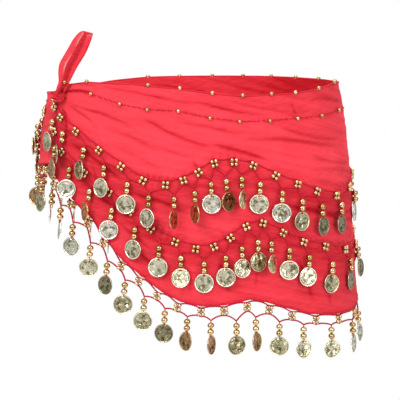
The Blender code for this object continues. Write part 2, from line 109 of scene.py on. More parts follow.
# Fine creases laid one by one: a soft trough with a ridge on its upper side, a negative depth is a ridge
CREASES_FRONT = (
    # from_around, from_height, to_around, to_height, bow, depth, width
    (120, -24, 208, -60, -4, 1.3, 3.0), (190, -53, 262, -73, 2, 1.5, 2.8),
    (222, -49, 366, -68, 5, 1.2, 3.0), (258, -33, 368, -57, -5, 1.1, 3.4),
    (286, -12, 293, -28, 1, 0.8, 2.2), (20, -18, 36, -50, 5, 1.6, 2.6), (24, -58, 27, -86, -2, 1.3, 2.4),
    (20, -7, 70, -6, 4, 1.6, 2.4), (24, -12, 92, -24, -4, 1.0, 2.6), (26, -17, 80, -46, 4, 0.9, 2.6),
    (24, -1, 74, 3, 2, 0.8, 1.9), (66, 3, 158, -10, 2, 0.7, 2.0), (104, -1, 190, -16, 1, 0.7, 2.1),
    (148, -5, 236, -25, 2, 0.8, 2.2), (186, -12, 268, -26, -2, 0.7, 2.0),
    (232, -14, 318, -25, -2, 0.6, 2.4), (300, -10, 384, -20, 2, 0.7, 2.4), (44, -17, 128, -44, 3, 0.8, 3.0),
    (64, -36, 152, -66, 4, 0.7, 3.4), (92, -36, 188, -70, -3, 0.7, 3.0), (84, -56, 150, -82, 3, 0.6, 3.6),
    (150, -30, 232, -46, 2, 0.8, 2.8), (206, -36, 300, -50, -3, 0.7, 3.2),
    (300, -66, 392, -84, -4, 0.8, 3.4), (316, -82, 398, -98, 2, 0.7, 3.0),
    (372, -40, 428, -52, 2, 0.9, 3.4), (176, -66, 186, -92, 2, 0.8, 2.6),
    (198, -62, 208, -84, -2, 0.7, 2.4), (34, -54, 112, -98, 4, 0.9, 3.0),
    (60, -92, 118, -128, -3, 0.8, 3.2), (110, -104, 178, -126, 3, 1.1, 3.0),
    (150, -112, 214, -118, -3, 0.8, 2.8), (186, -120, 266, -112, 2, 1.0, 3.0),
    (210, -104, 262, -106, -3, 0.7, 2.6), (268, -118, 358, -142, 3, 1.2, 3.2),
    (300, -126, 390, -132, -3, 0.8, 3.0), (340, -140, 420, -152, 3, 0.8, 3.2),
    (96, -132, 140, -168, 3, 0.8, 3.2), (116, -154, 154, -186, -3, 1.0, 3.2),
    (172, -176, 176, -212, 2, 0.8, 3.4), (206, -168, 216, -208, -3, 1.1, 3.4),
    (242, -166, 238, -206, 2, 0.7, 3.0), (284, -172, 302, -222, 4, 1.1, 3.6),
    (322, -190, 326, -230, -2, 0.7, 3.0), (364, -158, 374, -220, 4, 1.1, 3.6),
    (404, -176, 408, -222, -3, 0.8, 3.2),
)
CREASE_NARROW = 0.72 # share of their width that shows
CREASE_FADE = 0.3    # share of their length over which they fade at each end
CREASE_RIDGE = 0.5   # the ridge's height beside a trough
RIDGE_MIDDLE = 1.8   # its middle and reach, in widths of the crease
RIDGE_REACH = 1.3
CREASES_BACK = (
    # from_around, from_height, to_around, to_height, bow, depth, width
    (24, -26, 112, -54, 4, 1.2, 3.0), (92, -32, 202, -60, -5, 1.1, 3.2), (162, -44, 296, -72, 5, 1.5, 3.2),
    (256, -32, 380, -54, -4, 1.1, 3.2), (30, -16, 120, -26, 3, 0.8, 2.4),
    (104, -14, 210, -24, -2, 0.7, 2.4), (196, -10, 290, -24, 3, 0.8, 2.2),
    (286, -8, 384, -20, -3, 0.7, 2.4), (60, -58, 140, -84, 3, 0.8, 3.2), (216, -66, 300, -84, -3, 0.7, 3.0),
    (318, -70, 400, -88, 3, 0.8, 3.2), (84, -78, 150, -112, 4, 1.0, 3.2),
    (146, -112, 246, -132, -4, 1.2, 3.0), (244, -106, 356, -134, 4, 1.0, 3.2),
    (176, -102, 250, -108, 2, 0.7, 2.8), (330, -120, 420, -138, -3, 0.8, 3.2),
    (120, -96, 168, -134, 4, 0.9, 3.4), (214, -150, 204, -176, 3, 1.0, 3.6),
    (230, -160, 234, -192, -2, 0.7, 3.0), (256, -160, 268, -204, 3, 1.1, 3.4),
    (296, -172, 299, -204, 2, 0.7, 3.2), (328, -140, 336, -202, -4, 1.2, 3.6),
    (372, -168, 370, -206, 2, 0.8, 3.2), (406, -144, 400, -206, 3, 1.0, 3.6),
)

# Bead clusters and the coin drop that hangs after each, as in the part
ROW_UPPER = (
    # around, height, drop_around, drop_height, turn, lean
    (14, -21, 18, -31, -9, -2), (27, -31, 35, -42, -38, 0), (50, -44, 63, -57, -29, -2),
    (79, -62, 87, -74, -19, 0), (105, -77, 113, -90, 14, -1), (128, -91, 135, -103, -32, -1),
    (151, -95, 160, -104, 70, 0), (169, -90, 180, -98, -64, 1), (184, -82, 197, -89, 0, 1),
    (200, -73, 211, -86, 38, 2), (220, -72, 227, -84, 58, -1), (240, -76, 246, -90, -14, -3),
    (263, -87, 269, -100, -18, -3), (287, -97, 291, -110, 9, -2), (311, -106, 315, -117, 14, 0),
    (339, -113, 344, -118, 7, 0), (369, -107, 384, -110, 0, -2), (399, -95, 417, -98, 0, 0),
)
ROW_UPPER_BACK = (
    # around, height, drop_around, drop_height, turn, lean
    (27, -31, 36, -41, 0, 0), (47, -29, 59, -37, 0, 0), (70, -28, 82, -38, -8, 0),
    (93, -35, 105, -48, 12, 0), (116, -47, 128, -61, -20, -1), (139, -58, 151, -71, 34, 0),
    (162, -67, 174, -79, -12, 1), (186, -73, 198, -84, 18, 0), (210, -77, 222, -88, -40, 0),
    (234, -81, 247, -92, 8, -1), (259, -85, 272, -96, -16, 0), (285, -88, 298, -98, 26, 0),
    (311, -89, 324, -99, 0, 1), (337, -90, 350, -100, -30, 0), (363, -91, 376, -101, 14, 0),
    (388, -92, 399, -102, -6, 0), (409, -93, 420, -100, 20, 0),
)
ROW_LOWER = (
    # around, height, drop_around, drop_height, turn, lean
    (20, -46, 25, -58, -20, 0), (34, -66, 47, -78, 27, 0), (64, -86, 73, -99, -39, -4),
    (93, -104, 98, -117, 22, -4), (116, -123, 122, -136, -20, -3), (137, -140, 146, -154, 8, -2),
    (161, -153, 167, -164, 25, -1), (181, -160, 189, -170, 0, 0), (199, -158, 210, -164, -7, 0),
    (215, -149, 226, -155, 22, 0), (231, -138, 242, -149, 18, 0), (248, -135, 256, -151, 47, -2),
    (269, -146, 275, -159, -24, -3), (292, -157, 297, -168, -7, -3), (319, -164, 326, -178, -6, -3),
    (352, -171, 358, -179, 5, 0), (388, -170, 400, -172, -22, 0), (413, -158, 425, -163, 10, 0),
)
ROW_LOWER_BACK = (
    # around, height, drop_around, drop_height, turn, lean
    (34, -56, 49, -63, 0, 0), (59, -56, 71, -64, 0, 0), (82, -63, 94, -75, 14, 0),
    (105, -75, 117, -90, -10, -1), (128, -92, 140, -108, 24, -1), (151, -108, 163, -124, 0, 0),
    (174, -123, 186, -137, -34, 0), (198, -135, 210, -148, 12, 0), (222, -145, 235, -157, -8, 1),
    (247, -151, 260, -162, 30, 0), (273, -153, 286, -163, -18, 0), (299, -151, 312, -160, 0, 0),
    (325, -149, 338, -159, 22, 0), (351, -150, 364, -161, -26, 0), (376, -152, 388, -162, 6, 0),
    (400, -152, 412, -161, -12, 0),
)
FRINGE_FRONT = (
    # around, height, drop_around, drop_height, turn, lean
    (27, -99, 34.5, -122, -35, -1), (46.5, -118, 51, -138, 8, -2), (68, -138, 72.5, -158, 22, -2),
    (86.5, -157, 92, -175, -19, -2), (106.5, -177, 111, -194, 10, -2), (125, -193, 131, -210, 0, -1),
    (143.5, -207, 151.5, -222, -8, -1), (163.5, -218, 173, -230, -50, -1), (186, -224, 195.5, -234, 62, -1),
    (208.5, -224, 220, -235, 18, 0), (231, -221, 239, -232, 48, 0), (253, -224, 263, -238, -14, -1),
    (276.5, -231, 289, -243, 4, -1), (303.5, -237, 323.5, -247, -14, 0), (335, -241, 361.5, -247, 6, 1),
    (369, -238, 397, -241, -20, 0), (406, -227, 419, -222, -10, 0),
)
FRINGE_BACK = (
    # around, height, drop_around, drop_height, turn, lean
    (1, -88, 8, -98, -10, 0), (26, -90, 37, -95, -58, 0), (44, -90, 52, -96, -11, 0),
    (59, -90, 66, -97, -20, 0), (76, -93, 86, -101, -32, 0), (94, -100, 100.5, -110, -40, 0),
    (110, -110, 119.5, -126, -49, 0), (131, -126, 141.5, -143, -58, 0), (152, -144, 162, -161, -65, 0),
    (172, -160, 181, -176, -60, 0), (191, -174, 203, -190, -30, 0), (214, -191, 226, -206, 14, 0),
    (237, -205, 250, -216, 0, 0), (262, -213, 275, -220, -22, 0), (288, -214, 301, -219, 34, 0),
    (314, -211, 327, -217, -8, 1), (340, -212, 353, -219, 16, 0), (366, -215, 380, -222, 0, 0),
    (393, -216, 411, -221, -14, 0),
)
END_DROP = (20.5, -108, -37, -1)   # the net's first drop: around, height, turn, lean
MIDDLE_UPPER = (434, -92)
MIDDLE_LOWER = (434, -150)
MIDDLE_FRINGE = (434, -210)

# Finish of each front coin, from the knot on: w near white, s silver grey, p pale gold,
# o olive, d dark, b brown, c copper
FINISH_UPPER = "odopppbbwbopsoddsp"
FINISH_LOWER = "bwcwppppppooppoddp"
FINISH_HEM = "ssspdoodbbdboppssp"
FINISH_BACK = "opdpobpwodpspboddp"
FINISH_NUMBER = {"w": 0.0, "s": 0.16, "p": 0.30, "o": 0.50, "d": 0.68, "b": 0.86, "c": 1.0}

# A coin drop
UPPER_BEAD = 5.2     # its middle below the thread
LOWER_BEAD = 11.8
BEAD_RADIUS = 3.42
COIN_BELOW = 25.2    # the coin's middle below the thread
COIN_RADIUS = 10.0
COIN_THICK = 0.9
DROP_LENGTH = 34.0   # the drop's length in the part, over which it leans
COIN_HALF = 9.4      # half the coin's width in the part
BEAD_STAND = 4.9     # bead's middle over the hips' oval
COIN_STAND = 2.7     # coin's middle over the hips' oval
STAND_FADE = 9.0     # length over which a drop leans from its beads to its coin
HOLE_RISE = 8.1      # from the coin's middle to its hole's
BEAD_SWING = 9       # degrees that a bead sits askew at the most
DROP_ROOT = 1.4      # where a drop starts, over the cloth
DROP_THREAD = 0.55   # radius
LOOP_THREAD = 0.36
LOOP_POINTS = 15
LOOP_DEEP = 1.15     # half the loop's size from front to back
LOOP_TALL = 1.75
CLUSTER_HALF = 2.4   # halves and room of the part's clusters and drops
DROP_HALF = 1.3
ROW_ROOM = 2.6
NET_ROOM = 1.0
OVER_LEAST = 1.6     # how far a coin is lifted that hangs over the row below
OVER_MOST = 4.5
OVER_SHARE = 0.3
OVER_START = -9.0

# A cluster of four small beads
SMALL_BEAD = 2.12    # radius
CLUSTER_STEP = 2.15  # from the cluster's middle to a bead's middle, each way
CLUSTER_STAND = 3.0  # the beads' middles over the cloth's middle
CLUSTER_UNEVEN = 0.18
CLUSTER_TURN = 9     # degrees that a cluster is askew at the most
CROSS_HALF = 1.9     # the thread cross between the beads: half its size, its place and radius
CROSS_BEHIND = 0.8
CROSS_THREAD = 0.38

# Crochet threads
THREAD_STEP = 0.85   # length of one ring of a thread
THREAD_STITCH = 2.5  # length of one stitch
ROW_THREAD = 0.95    # radius of the threads on the cloth
NET_THREAD = 0.80    # radius of the threads of the hem net
EDGE_THREAD = 0.7    # radius of the thread along the top edge and the hem
LINE_THREAD = 0.45   # radius of the stitches of the second line
STITCH_THIN = 0.82   # a thread's least share of its radius, and what each stitch adds
STITCH_SWELL = 0.36
WOBBLE = 0.12        # how far a thread strays up and down, and its turn from ring to ring
WOBBLE_TURN = 1.9
ROW_ABOVE = 4.7      # a row's threads over and under its clusters' middles
ROW_BELOW = 4.4
ROW_STAND = 0.9
UPPER_HUMP = -1.6    # how far they bend up between two nodes
LOWER_HUMP = 0.8
NET_HUMP = 1.5
NET_HALF = 4.4       # half the height of the net between its threads
NET_BELOW = 0.9      # its upper thread under the hem, with a dip at each cluster
NET_DIP = 5.5
NET_TILT = 0.25      # share of the hem's slope that its clusters follow
NET_TURN = 6

# Small beads on the top edge and on the second line
EDGE_BEAD = 2.2      # radius
EDGE_BEADS = (56, 129, 164, 199, 232, 265, 294.5, 329, 364, 422, 456, 490, 522, 556, 592, 630, 667,
              738, 773)
SECOND_LINE = (
    # around, height
    (26, -4), (47, -3), (63, -5), (99, -14), (130, -19), (163, -20), (196, -27), (227, -31), (260, -31),
    (293, -30), (326, -29), (360, -26), (394, -26), (434, -28),
)
SECOND_LINE_BACK = (
    # around, height
    (-12, -18), (60, -19), (100, -21), (140, -25), (200, -30), (260, -32), (326, -30), (394, -27),
    (434, -28),
)
SECOND_BEADS = (63, 99, 130, 163, 196, 227, 260, 293, 326, 360, 430)
SECOND_BEADS_BACK = (99, 130, 163, 196, 227, 260, 293, 326, 360, 394)
KNOT_BEADS = ((19, -13.5, 9.4), (33, 6.0, 9.0))  # around, height, stand over the cloth

TIED_END = (
    # height, left, right, back_depth, lip_depth
    (-10.5, -145.0, -136.5, 3.2, 3.2), (-4.2, -142.6, -134.0, 3.3, 3.3), (1.0, -141.0, -131.0, 3.0, 3.0),
    (7.0, -139.2, -127.9, 3.6, 3.3), (17.0, -139.5, -122.9, 5.0, 4.0), (25.5, -138.0, -118.1, 5.2, 4.2),
    (34.0, -133.4, -112.7, 5.0, 4.2), (42.5, -128.4, -108.6, 4.6, 3.8), (49.5, -124.4, -105.9, 4.0, 3.2),
    (54.0, -120.9, -104.5, 3.2, 2.6), (56.2, -118.8, -103.9, 3.2, 2.2), (57.1, -117.6, -106.8, 2.4, 1.6),
    (57.9, -116.2, -110.2, 1.6, 1.1), (58.5, -114.8, -112.9, 0.8, 0.6),
)
TIED_SECTION = (
    # share_of_width, share_of_depth
    (0.36, -0.80), (0.17, -1.0), (0.02, -0.6), (0.05, 0.2), (0.30, 0.9), (0.65, 1.0), (0.92, 0.35),
    (1.0, -0.5),
)
TIED_DEPTH = -64.0   # the strip's middle, from the hips' middle
TIED_BACK = 5.0      # how far it runs back into the knot at its foot
TIED_CREASE = 0.45   # its lengthwise creases
TIED_GATHER = 0.9    # and its gathers at the knot
TIED_SHADE = 0.12    # its front lip is this much darker
POCKET_START = 0.22  # where its inside begins, as a share of its section
# Painted highlight at its tip
TIP_HIGHLIGHT = 0.45     # pale at its tip
# Painted shade on the tied end: a shadow along its right edge, a dark line where the lip folds over, and
# shade at its foot
TIED_SHADES = (
    # strength, place in the section, reach, place in the height, reach
    (0.62, 0.98, 0.09, 0.62, 0.42), (0.30, 0.27, 0.05, 0, math.inf), (0.45, 0, math.inf, 0.0, 0.16),
)
# Painted highlights along the lip's edge
TIED_HIGHLIGHTS = ((0.8, 0.03, 0.045, 0.90, 0.10), (0.8, 0.03, 0.045, 0.52, 0.12))
TIED_ROWS = 110
TIED_COLUMNS = 84

KNOT_AROUND = 21.5
KNOT_HEIGHT = -9.7
KNOT_STAND = 7.6
KNOT_HALF = (9.6, 6.9, 6.8)
KNOT_CREASE = 0.16   # depths of its creases, as shares of its size
KNOT_FINE = 0.17
KNOT_RIPPLE = 0.03
# The knot darker all over, with painted shade deepest in its creases
KNOT_SHADE = 0.42
KNOT_DARKER = 0.75   # in its creases
KNOT_RINGS = 60
KNOT_SIDES = 90

# Camera and picture
PICTURE_SCALE = 1.06           # millimetres that one pixel of the 400 covers at the target
PICTURE_PIXELS = 400
SENSOR = 36.0
CAMERA_AWAY = 3.0              # metres from the target
CAMERA_LIFT = 7.0              # degrees above the horizon
TARGET = (0.0064, 0.0, -0.1245)

CHANCE = np.random.default_rng(20)
UP = np.array((0, 0, 1.0))

# Gathers at the stitched lines: pitch, reach, depth
SECOND_GATHER = (6.5, 4.5, 0.40)
UPPER_GATHER = (7.5, 8.0, 0.55)
LOWER_GATHER = (8.0, 8.0, 0.55)
TOP_GATHER = (8.5, 3.5, 0.22)
HEM_GATHER = (12.0, 6.0, 0.35)
GATHER_LIFT = 4.6                                    # over the clusters' middles
GATHER_SWINGS = ((0.9, 2.7, 0.0), (0.6, 6.1, 1.0))   # size, length in pitches, start
GATHER_SLANT = (0.9, 47, 0.5)                        # size, length, mean
GATHER_MEAN = 0.55
GATHER_UNEVEN = ((0.35, 11.3, 1), (0.30, 29, 2))     # size, length, start in pitches

# Waves over the whole cloth
DRAPE_SLANT = 0.20
DRAPE_WAVES = (
    # size, length, swing, its length and start, rise, fade along, down and its start
    (0.42, 4.6, 1.6, 57, 0.4, math.inf, 61, 83, 0.7), (0.30, 2.9, 2.1, 43, 2.0, 31, 61, 83, 0.7),
    (0.13, 1.5, 2.6, 71, 1.1, 17, 37, -29, 0.0),
)
CLEAR_START = 16     # the fine creases begin here, clear of the knot
CLEAR_FADE = 22
PUSH_LEAST = -2.2
PUSH_MOST = 0.9

# How dark the cloth is, from 0 to 1, mostly painted shade
SHADE_LEAST = 0.04
# Painted shade in the fine creases, growing towards the middle of the cloth's length, and in bands under each
# row
SHADE_CREASE = 0.66
CREASE_FULL = 1.1    # depth of a crease that is darkest
SHADE_SIDE = 0.20    # towards the middle of the cloth's length
SHADE_BANDS = ((9, 14, 0.42, 7.5), (6, 12, 0.36, 8.0))  # under each row: middle, reach, strength, pitch
# Painted shade over all the cloth below each row, and in the troughs of the rows' gathers
SHADE_BELOW = 0.15
SHADE_GATHER = 0.50
# Darker bands under the top edge, along the second line and at the hem, and painted shade in the second
# line's gathers
SHADE_TOP = 0.25
SHADE_LINE = 0.22
SHADE_LINE_GATHER = 0.40
SHADE_HEM = 0.30
# Less painted shade on the back's short end
STRIP_START = 815    # the back's short end is lighter
STRIP_LIGHTER = 0.4
# Painted shade on the cloth's inner face, deepest by the right hip
INSIDE_DARKER = 0.10
CORNER_DARKER = 0.50 # the inner face by the right hip
CORNER_PLACE = 462
WEAVE_SIZE = 10      # length of cloth for one step of the weave's coordinates

# A coin's shape
COIN_STATIONS = (0.9, 1.9, 2.9, 3.9, 4.9, 5.8, 6.6, 7.2, 7.8, 8.4, 9.0, 9.5, 9.85)
COIN_SIDES = 44
COIN_KINDS = 24
HOLE_STATIONS = (7, 9)   # the coin's hole goes from one of its rings to another
HOLE_SIDES = (10, 12)    # and over these of its sides, at its top
FIELD_SINK = 0.15
PLAIN_RELIEF = 0.3
RIM_TALL, RIM_START, RIM_END, RIM_SLOPE = 0.40, 8.8, 10.1, 0.5
GROOVE_DEEP, GROOVE_PLACE, GROOVE_REACH = 0.16, 8.4, 0.45
DOTS_PLACE, DOTS_REACH, DOTS_TALL, DOTS_UNEVEN = 7.6, 0.5, 0.22, 0.12
MARK_SEED = 40
MARKS = 16
MARK_LEAST = (-6, -6, 0.8, -0.30)  # across, up, reach, height
MARK_MOST = (6, 6, 1.8, 0.36)
COIN_BENDS = (-0.4, 0.9)
COIN_SPIN = 7            # degrees
COIN_TILTS = (0.5, 4.5)

# Looks
# The cloth's colour unshaded and under full painted shade, the colour of light through it, and its painted
# highlight
CLOTH_LIGHT = (0.95, 0.056, 0.084, 1)
CLOTH_SHADED = (0.50, 0.003, 0.012, 1)
CLOTH_THIN = (1.0, 0.055, 0.10, 1)
CLOTH_HIGHLIGHT = (1.0, 0.50, 0.46, 1)
LIGHT_THROUGH = 0.16
# Streaks along the weave: the bump of fine creases, and painted shade in them
STREAKS = (
    # angle, size, detail, share
    (-13, (9.0, 0.62, 1.0), 3.0, 1.15), (18, (2.6, 0.34, 1.0), 2.0, 0.45),
)
STREAK_MEAN = 0.80
STREAK_DEPTH = 1.1
CLOUD_STRENGTH = 0.45
WEAVE_DEPTH = 0.10
CRINKLE_DEPTH = 0.5
ROW_REDS = ((0.35, 0.003, 0.014), (0.62, 0.008, 0.030))
NET_REDS = ((0.20, 0.002, 0.016), (0.46, 0.004, 0.036))
BEAD_COLOURS = ((0.1, (0.34, 0.21, 0.07)), (0.5, (0.50, 0.34, 0.14)), (0.9, (0.74, 0.58, 0.34)))
COIN_COLOURS = (
    (0.0, (0.97, 0.95, 0.88)), (0.16, (0.82, 0.81, 0.74)), (0.30, (0.90, 0.86, 0.69)),
    (0.50, (0.65, 0.61, 0.42)), (0.68, (0.34, 0.32, 0.21)), (0.86, (0.58, 0.36, 0.20)),
    (1.0, (0.70, 0.27, 0.08)),
)
# Painted reflections: pink and green blotches multiplied into the coins' colour
REFLECTION_SHARE = 0.6
REFLECTION_TINTS = ((0.38, (0.72, 0.86, 0.66)), (0.5, 1.0), (0.64, (1.0, 0.80, 0.76)))
GRIME_COLOURS = ((0.30, (0.30, 0.28, 0.20)), (0.42, (0.86, 0.84, 0.76)), (0.90, 1.0))

# Studio
FLOOR_HEIGHT = -1.0
FLOOR_HALF = 1.5
LAMPS = (
    # name, place, size, watts
    ("key", (-1.3, -2.0, 1.6), 1.3, 62), ("fill", (1.8, -1.9, 0.5), 1.5, 30),
    ("top", (0.1, 0.2, 2.3), 1.6, 24), ("back", (0.4, 2.2, 1.0), 1.6, 26),
)
STUDIO_GREYS = (
    (0.0, 0.14), (0.28, 0.26), (0.38, 0.86), (0.46, 0.86), (0.52, 0.22), (0.58, 0.42), (0.72, 1.0),
)
STUDIO_STRENGTH = 0.9


def read(table, place, column=1):
    """Read a table's column at places, in straight steps between its rows."""
    rows = np.array(sorted(table), float)
    return np.interp(place, rows[:, 0], rows[:, column])


def ease(value):
    """Go softly from 0 to 1."""
    value = np.clip(value, 0.0, 1.0)
    return value * value * (3 - 2 * value)


def bump_at(place, middle, reach):
    """A soft hump round a place."""
    return np.exp(-((place - middle) / reach) ** 2)


def rolled(first, second, angle):
    """Two directions at right angles, both turned by an angle, the first towards the second."""
    return (first * math.cos(angle) + second * math.sin(angle),
            second * math.cos(angle) - first * math.sin(angle))


def beside(outward):
    """The level direction along the cloth, from the direction that it faces."""
    return np.array((-outward[1], outward[0], 0.0))


def measure_oval(before=0.4, after=3 * math.pi, steps=4800):
    """Lengths round the oval from the knot, and the angles that they reach."""
    start = math.radians(KNOT_ANGLE)
    angles = np.linspace(start - before, start + after, steps)
    middles = (angles[1:] + angles[:-1]) / 2
    pieces = np.diff(angles) * np.hypot(LEVEL_WIDTH * np.cos(middles), LEVEL_DEPTH * np.sin(middles))
    lengths = np.concatenate(([0.0], np.cumsum(pieces)))
    return lengths - np.interp(start, angles, lengths), angles


OVAL_LENGTHS, OVAL_ANGLES = measure_oval()


def angle_at(around):
    """Angle from the front middle of a length round the hips."""
    return np.interp(around, OVAL_LENGTHS, OVAL_ANGLES)


def facing_at(around, height):
    """Angle from the front middle that the cloth faces at a place."""
    angle = angle_at(around)
    return np.arctan2(read(FORM, height, 2) * np.sin(angle), read(FORM, height, 1) * np.cos(angle))


def outward_at(around, height):
    """The level direction that the cloth faces at a place."""
    facing = facing_at(around, height)
    return np.stack([np.sin(facing), -np.cos(facing), 0 * facing], -1)


def on_hips(around, height, out):
    """Points that stand out from the hips' oval."""
    around, height, out = np.broadcast_arrays(*(np.asarray(v, float) for v in (around, height, out)))
    angle = angle_at(around)
    across = read(FORM, height, 1) * np.sin(angle)
    depth = -read(FORM, height, 2) * np.cos(angle)
    return np.stack([across, depth, height], -1) + outward_at(around, height) * out[..., None]


def beside_line(around, height, ends):
    """Share of a straight line that a place has passed, how far beside it the place is, and its length."""
    from_around, from_height, to_around, to_height = ends
    run, rise = to_around - from_around, to_height - from_height
    length = math.hypot(run, rise)
    share = ((around - from_around) * run + (height - from_height) * rise) / length ** 2
    return share, ((height - from_height) * run - (around - from_around) * rise) / length, length


def fold_depth(around, height):
    """How far the soft folds press the cloth in at a place, as in the part."""
    pressed = 0 * (around + height)
    for table, along, used in ((FOLDS_FRONT, around, around <= GIRTH / 2),
                               (FOLDS_BACK, GIRTH - around, around > GIRTH / 2)):
        for *ends, depth, reach in table:
            share, side, length = beside_line(along, height, ends)
            away = np.hypot(side, (share - np.clip(share, 0, 1)) * length)
            pressed = pressed + used * depth * bump_at(away, 0, reach)
    return np.minimum(FOLD_MOST, pressed)


def lap_rise(around):
    """How far the front end stands out over the back end."""
    return LAP_RISE * (1 - ease((np.asarray(around, float) - LAP_END) / LAP_FADE))


def on_cloth(around, height, out=0.0):
    """Points of the part's cloth, moved out from its middle."""
    around = np.asarray(around, float)
    folded = fold_depth(around, np.asarray(height, float)) * ease((around - FLAT_END) / FLAT_FADE)
    return on_hips(around, height, out + lap_rise(around) - folded)


def top_at(around):
    """Height of the top edge."""
    return read(TOP_EDGE, around)


def line_at(around, front, back):
    """Height of a line with a table for the front and one for the back, which counts backwards."""
    around = np.asarray(around, float)
    return np.where(around <= GIRTH / 2, read(front, around), read(back, GIRTH - around))


def hem_at(around):
    """Height of the hem."""
    return line_at(around, HEM_FRONT, HEM_BACK)


def second_line_at(around):
    """Height of the second line of stitches."""
    return line_at(around, SECOND_LINE, SECOND_LINE_BACK)


def full_row(front, back, middle):
    """List a whole row from the front end to the back end: clusters, and the drops between them."""
    clusters = [row[:2] for row in front] + [middle]
    clusters += [(GIRTH - row[0], row[1]) for row in reversed(back)]
    drops = [row[2:] for row in front]
    drops += [(GIRTH - row[2], row[3], -row[4], -row[5]) for row in reversed(back)]
    return clusters, drops


def keep_room(drops, clusters, room):
    """Hold each drop clear of the clusters on both its sides."""
    kept = []
    for (hang, level, turn, lean), before, after in zip(drops, clusters, clusters[1:]):
        kept.append((min(max(hang, before[0] + room), after[0] - room), level, turn, lean))
    return kept + list(drops[len(kept):])


UPPER_CLUSTERS, UPPER_DROPS = full_row(ROW_UPPER, ROW_UPPER_BACK, MIDDLE_UPPER)
LOWER_CLUSTERS, LOWER_DROPS = full_row(ROW_LOWER, ROW_LOWER_BACK, MIDDLE_LOWER)
HEM_CLUSTERS, HEM_DROPS = full_row(FRINGE_FRONT, FRINGE_BACK, MIDDLE_FRINGE)
UPPER_DROPS = keep_room(UPPER_DROPS, UPPER_CLUSTERS, ROW_ROOM + DROP_HALF)
LOWER_DROPS = keep_room(LOWER_DROPS, LOWER_CLUSTERS, ROW_ROOM + DROP_HALF)
HEM_DROPS = keep_room(HEM_DROPS, HEM_CLUSTERS, CLUSTER_HALF + NET_ROOM + DROP_HALF)


def crease_push(around, height, table):
    """How far a table of fine creases moves the cloth out."""
    pushed = 0 * (around + height)
    for *ends, bow, depth, width in table:
        share, side, _ = beside_line(around, height, ends)
        side = (side - bow * 4 * share * (1 - share)) / (CREASE_NARROW * width)
        fade = ease(share / CREASE_FADE) * ease((1 - share) / CREASE_FADE)
        ridge = CREASE_RIDGE * bump_at(side, RIDGE_MIDDLE, RIDGE_REACH)
        pushed = pushed + fade * depth * (ridge - bump_at(side, 0, 1))
    return pushed


def creases_at(around, height):
    """How far all the fine creases move the cloth out."""
    return crease_push(around, height, CREASES_FRONT) + crease_push(GIRTH - around, height, CREASES_BACK)


def pucker(around, height, line_height, pitch, reach, depth):
    """Small, slanted and uneven gathers on both sides of a stitched line."""
    above = height - line_height
    phase = around / pitch
    for size, pitches, start in GATHER_SWINGS:
        phase = phase + size * np.sin(around / (pitches * pitch) + start)
    slant_size, slant_length, slant_mean = GATHER_SLANT
    phase = phase + (slant_size * np.sin(around / slant_length + pitch) + slant_mean) * above / pitch
    uneven = GATHER_MEAN
    for size, length, starts in GATHER_UNEVEN:
        uneven = uneven + size * np.sin(around / length + starts * pitch)
    return depth * bump_at(above, 0, reach) * np.clip(uneven, 0, 1) * np.cos(2 * math.pi * phase)


def drape_waves(around, height):
    """Soft, uneven waves that run slantwise over the whole cloth."""
    slant = height + DRAPE_SLANT * np.minimum(around, GIRTH - around)
    waves = 0 * slant
    for size, length, swing, swing_length, start, rise, fade_around, fade_height, fade_start in DRAPE_WAVES:
        fade = 0.5 + 0.5 * np.sin(around / fade_around + height / fade_height + fade_start)
        turn = slant / length + swing * np.sin(around / swing_length + start) + height / rise
        waves = waves + fade * size * np.sin(turn)
    return waves


def fine_push(around, height):
    """All that the fine cloth adds to the part's cloth, pushed out."""
    clear = ease((around - CLEAR_START) / CLEAR_FADE) * ease((GIRTH + 4 - around) / 10)
    pushed = creases_at(around, height) + drape_waves(around, height)
    for line, gather in (
        (second_line_at(around), SECOND_GATHER),
        (read(UPPER_CLUSTERS, around) + GATHER_LIFT, UPPER_GATHER),
        (read(LOWER_CLUSTERS, around) + GATHER_LIFT, LOWER_GATHER),
        (top_at(around), TOP_GATHER),
        (hem_at(around), HEM_GATHER),
    ):
        pushed = pushed + pucker(around, height, line, *gather)
    return np.clip(pushed, PUSH_LEAST, PUSH_MOST) * clear


def on_fine_cloth(around, height, out=0.0):
    """Points of the cloth that shows, moved out from its middle."""
    around, height = np.asarray(around, float), np.asarray(height, float)
    return on_cloth(around, height, out + (CLOTH - FINE_CLOTH) / 2 + fine_push(around, height))


class Parts:
    """Points, faces and marks of one piece while it is put together."""

    def __init__(self):
        self.points = []
        self.faces = []
        self.marks = {}
        self.count = 0

    def add(self, points, faces, **marks):
        """Add a closed shape; each mark is a number for all of it or one for each point."""
        points = np.asarray(points, float).reshape(-1, 3)
        self.points.append(points)
        self.faces.extend(tuple(corner + self.count for corner in face) for face in faces)
        for name, values in marks.items():
            self.marks.setdefault(name, []).append(np.broadcast_to(np.asarray(values, float), len(points)))
        self.count += len(points)


def put(name, data):
    """Add an object to the scene."""
    thing = bpy.data.objects.new(name, data)
    bpy.context.scene.collection.objects.link(thing)
    return thing


def make_piece(name, parts, material, slot, *nodes, uv=None):
    """Turn parts into a piece that rides on the scarf and stands for nodes of the part."""
    mesh = bpy.data.meshes.new(name)
    mesh.from_pydata((np.concatenate(parts.points) * MM).tolist(), [], parts.faces)
    for mark, values in parts.marks.items():
        layer = mesh.attributes.new(mark, "FLOAT", "POINT")
        layer.data.foreach_set("value", np.concatenate(values).astype(np.float32))
    build = bmesh.new()
    build.from_mesh(mesh)
    bmesh.ops.recalc_face_normals(build, faces=build.faces[:])
    build.to_mesh(mesh)
    build.free()
    if uv is not None:
        corners = np.zeros(len(mesh.loops), np.int32)
        mesh.loops.foreach_get("vertex_index", corners)
        layer = mesh.uv_layers.new(name="weave")
        layer.data.foreach_set("uv", uv[corners].astype(np.float32).ravel())
    mesh.polygons.foreach_set("use_smooth", np.ones(len(mesh.polygons), bool))
    mesh.materials.append(material)
    piece = put(name, mesh)
    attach(piece, "root")
    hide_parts(*nodes)
    return piece


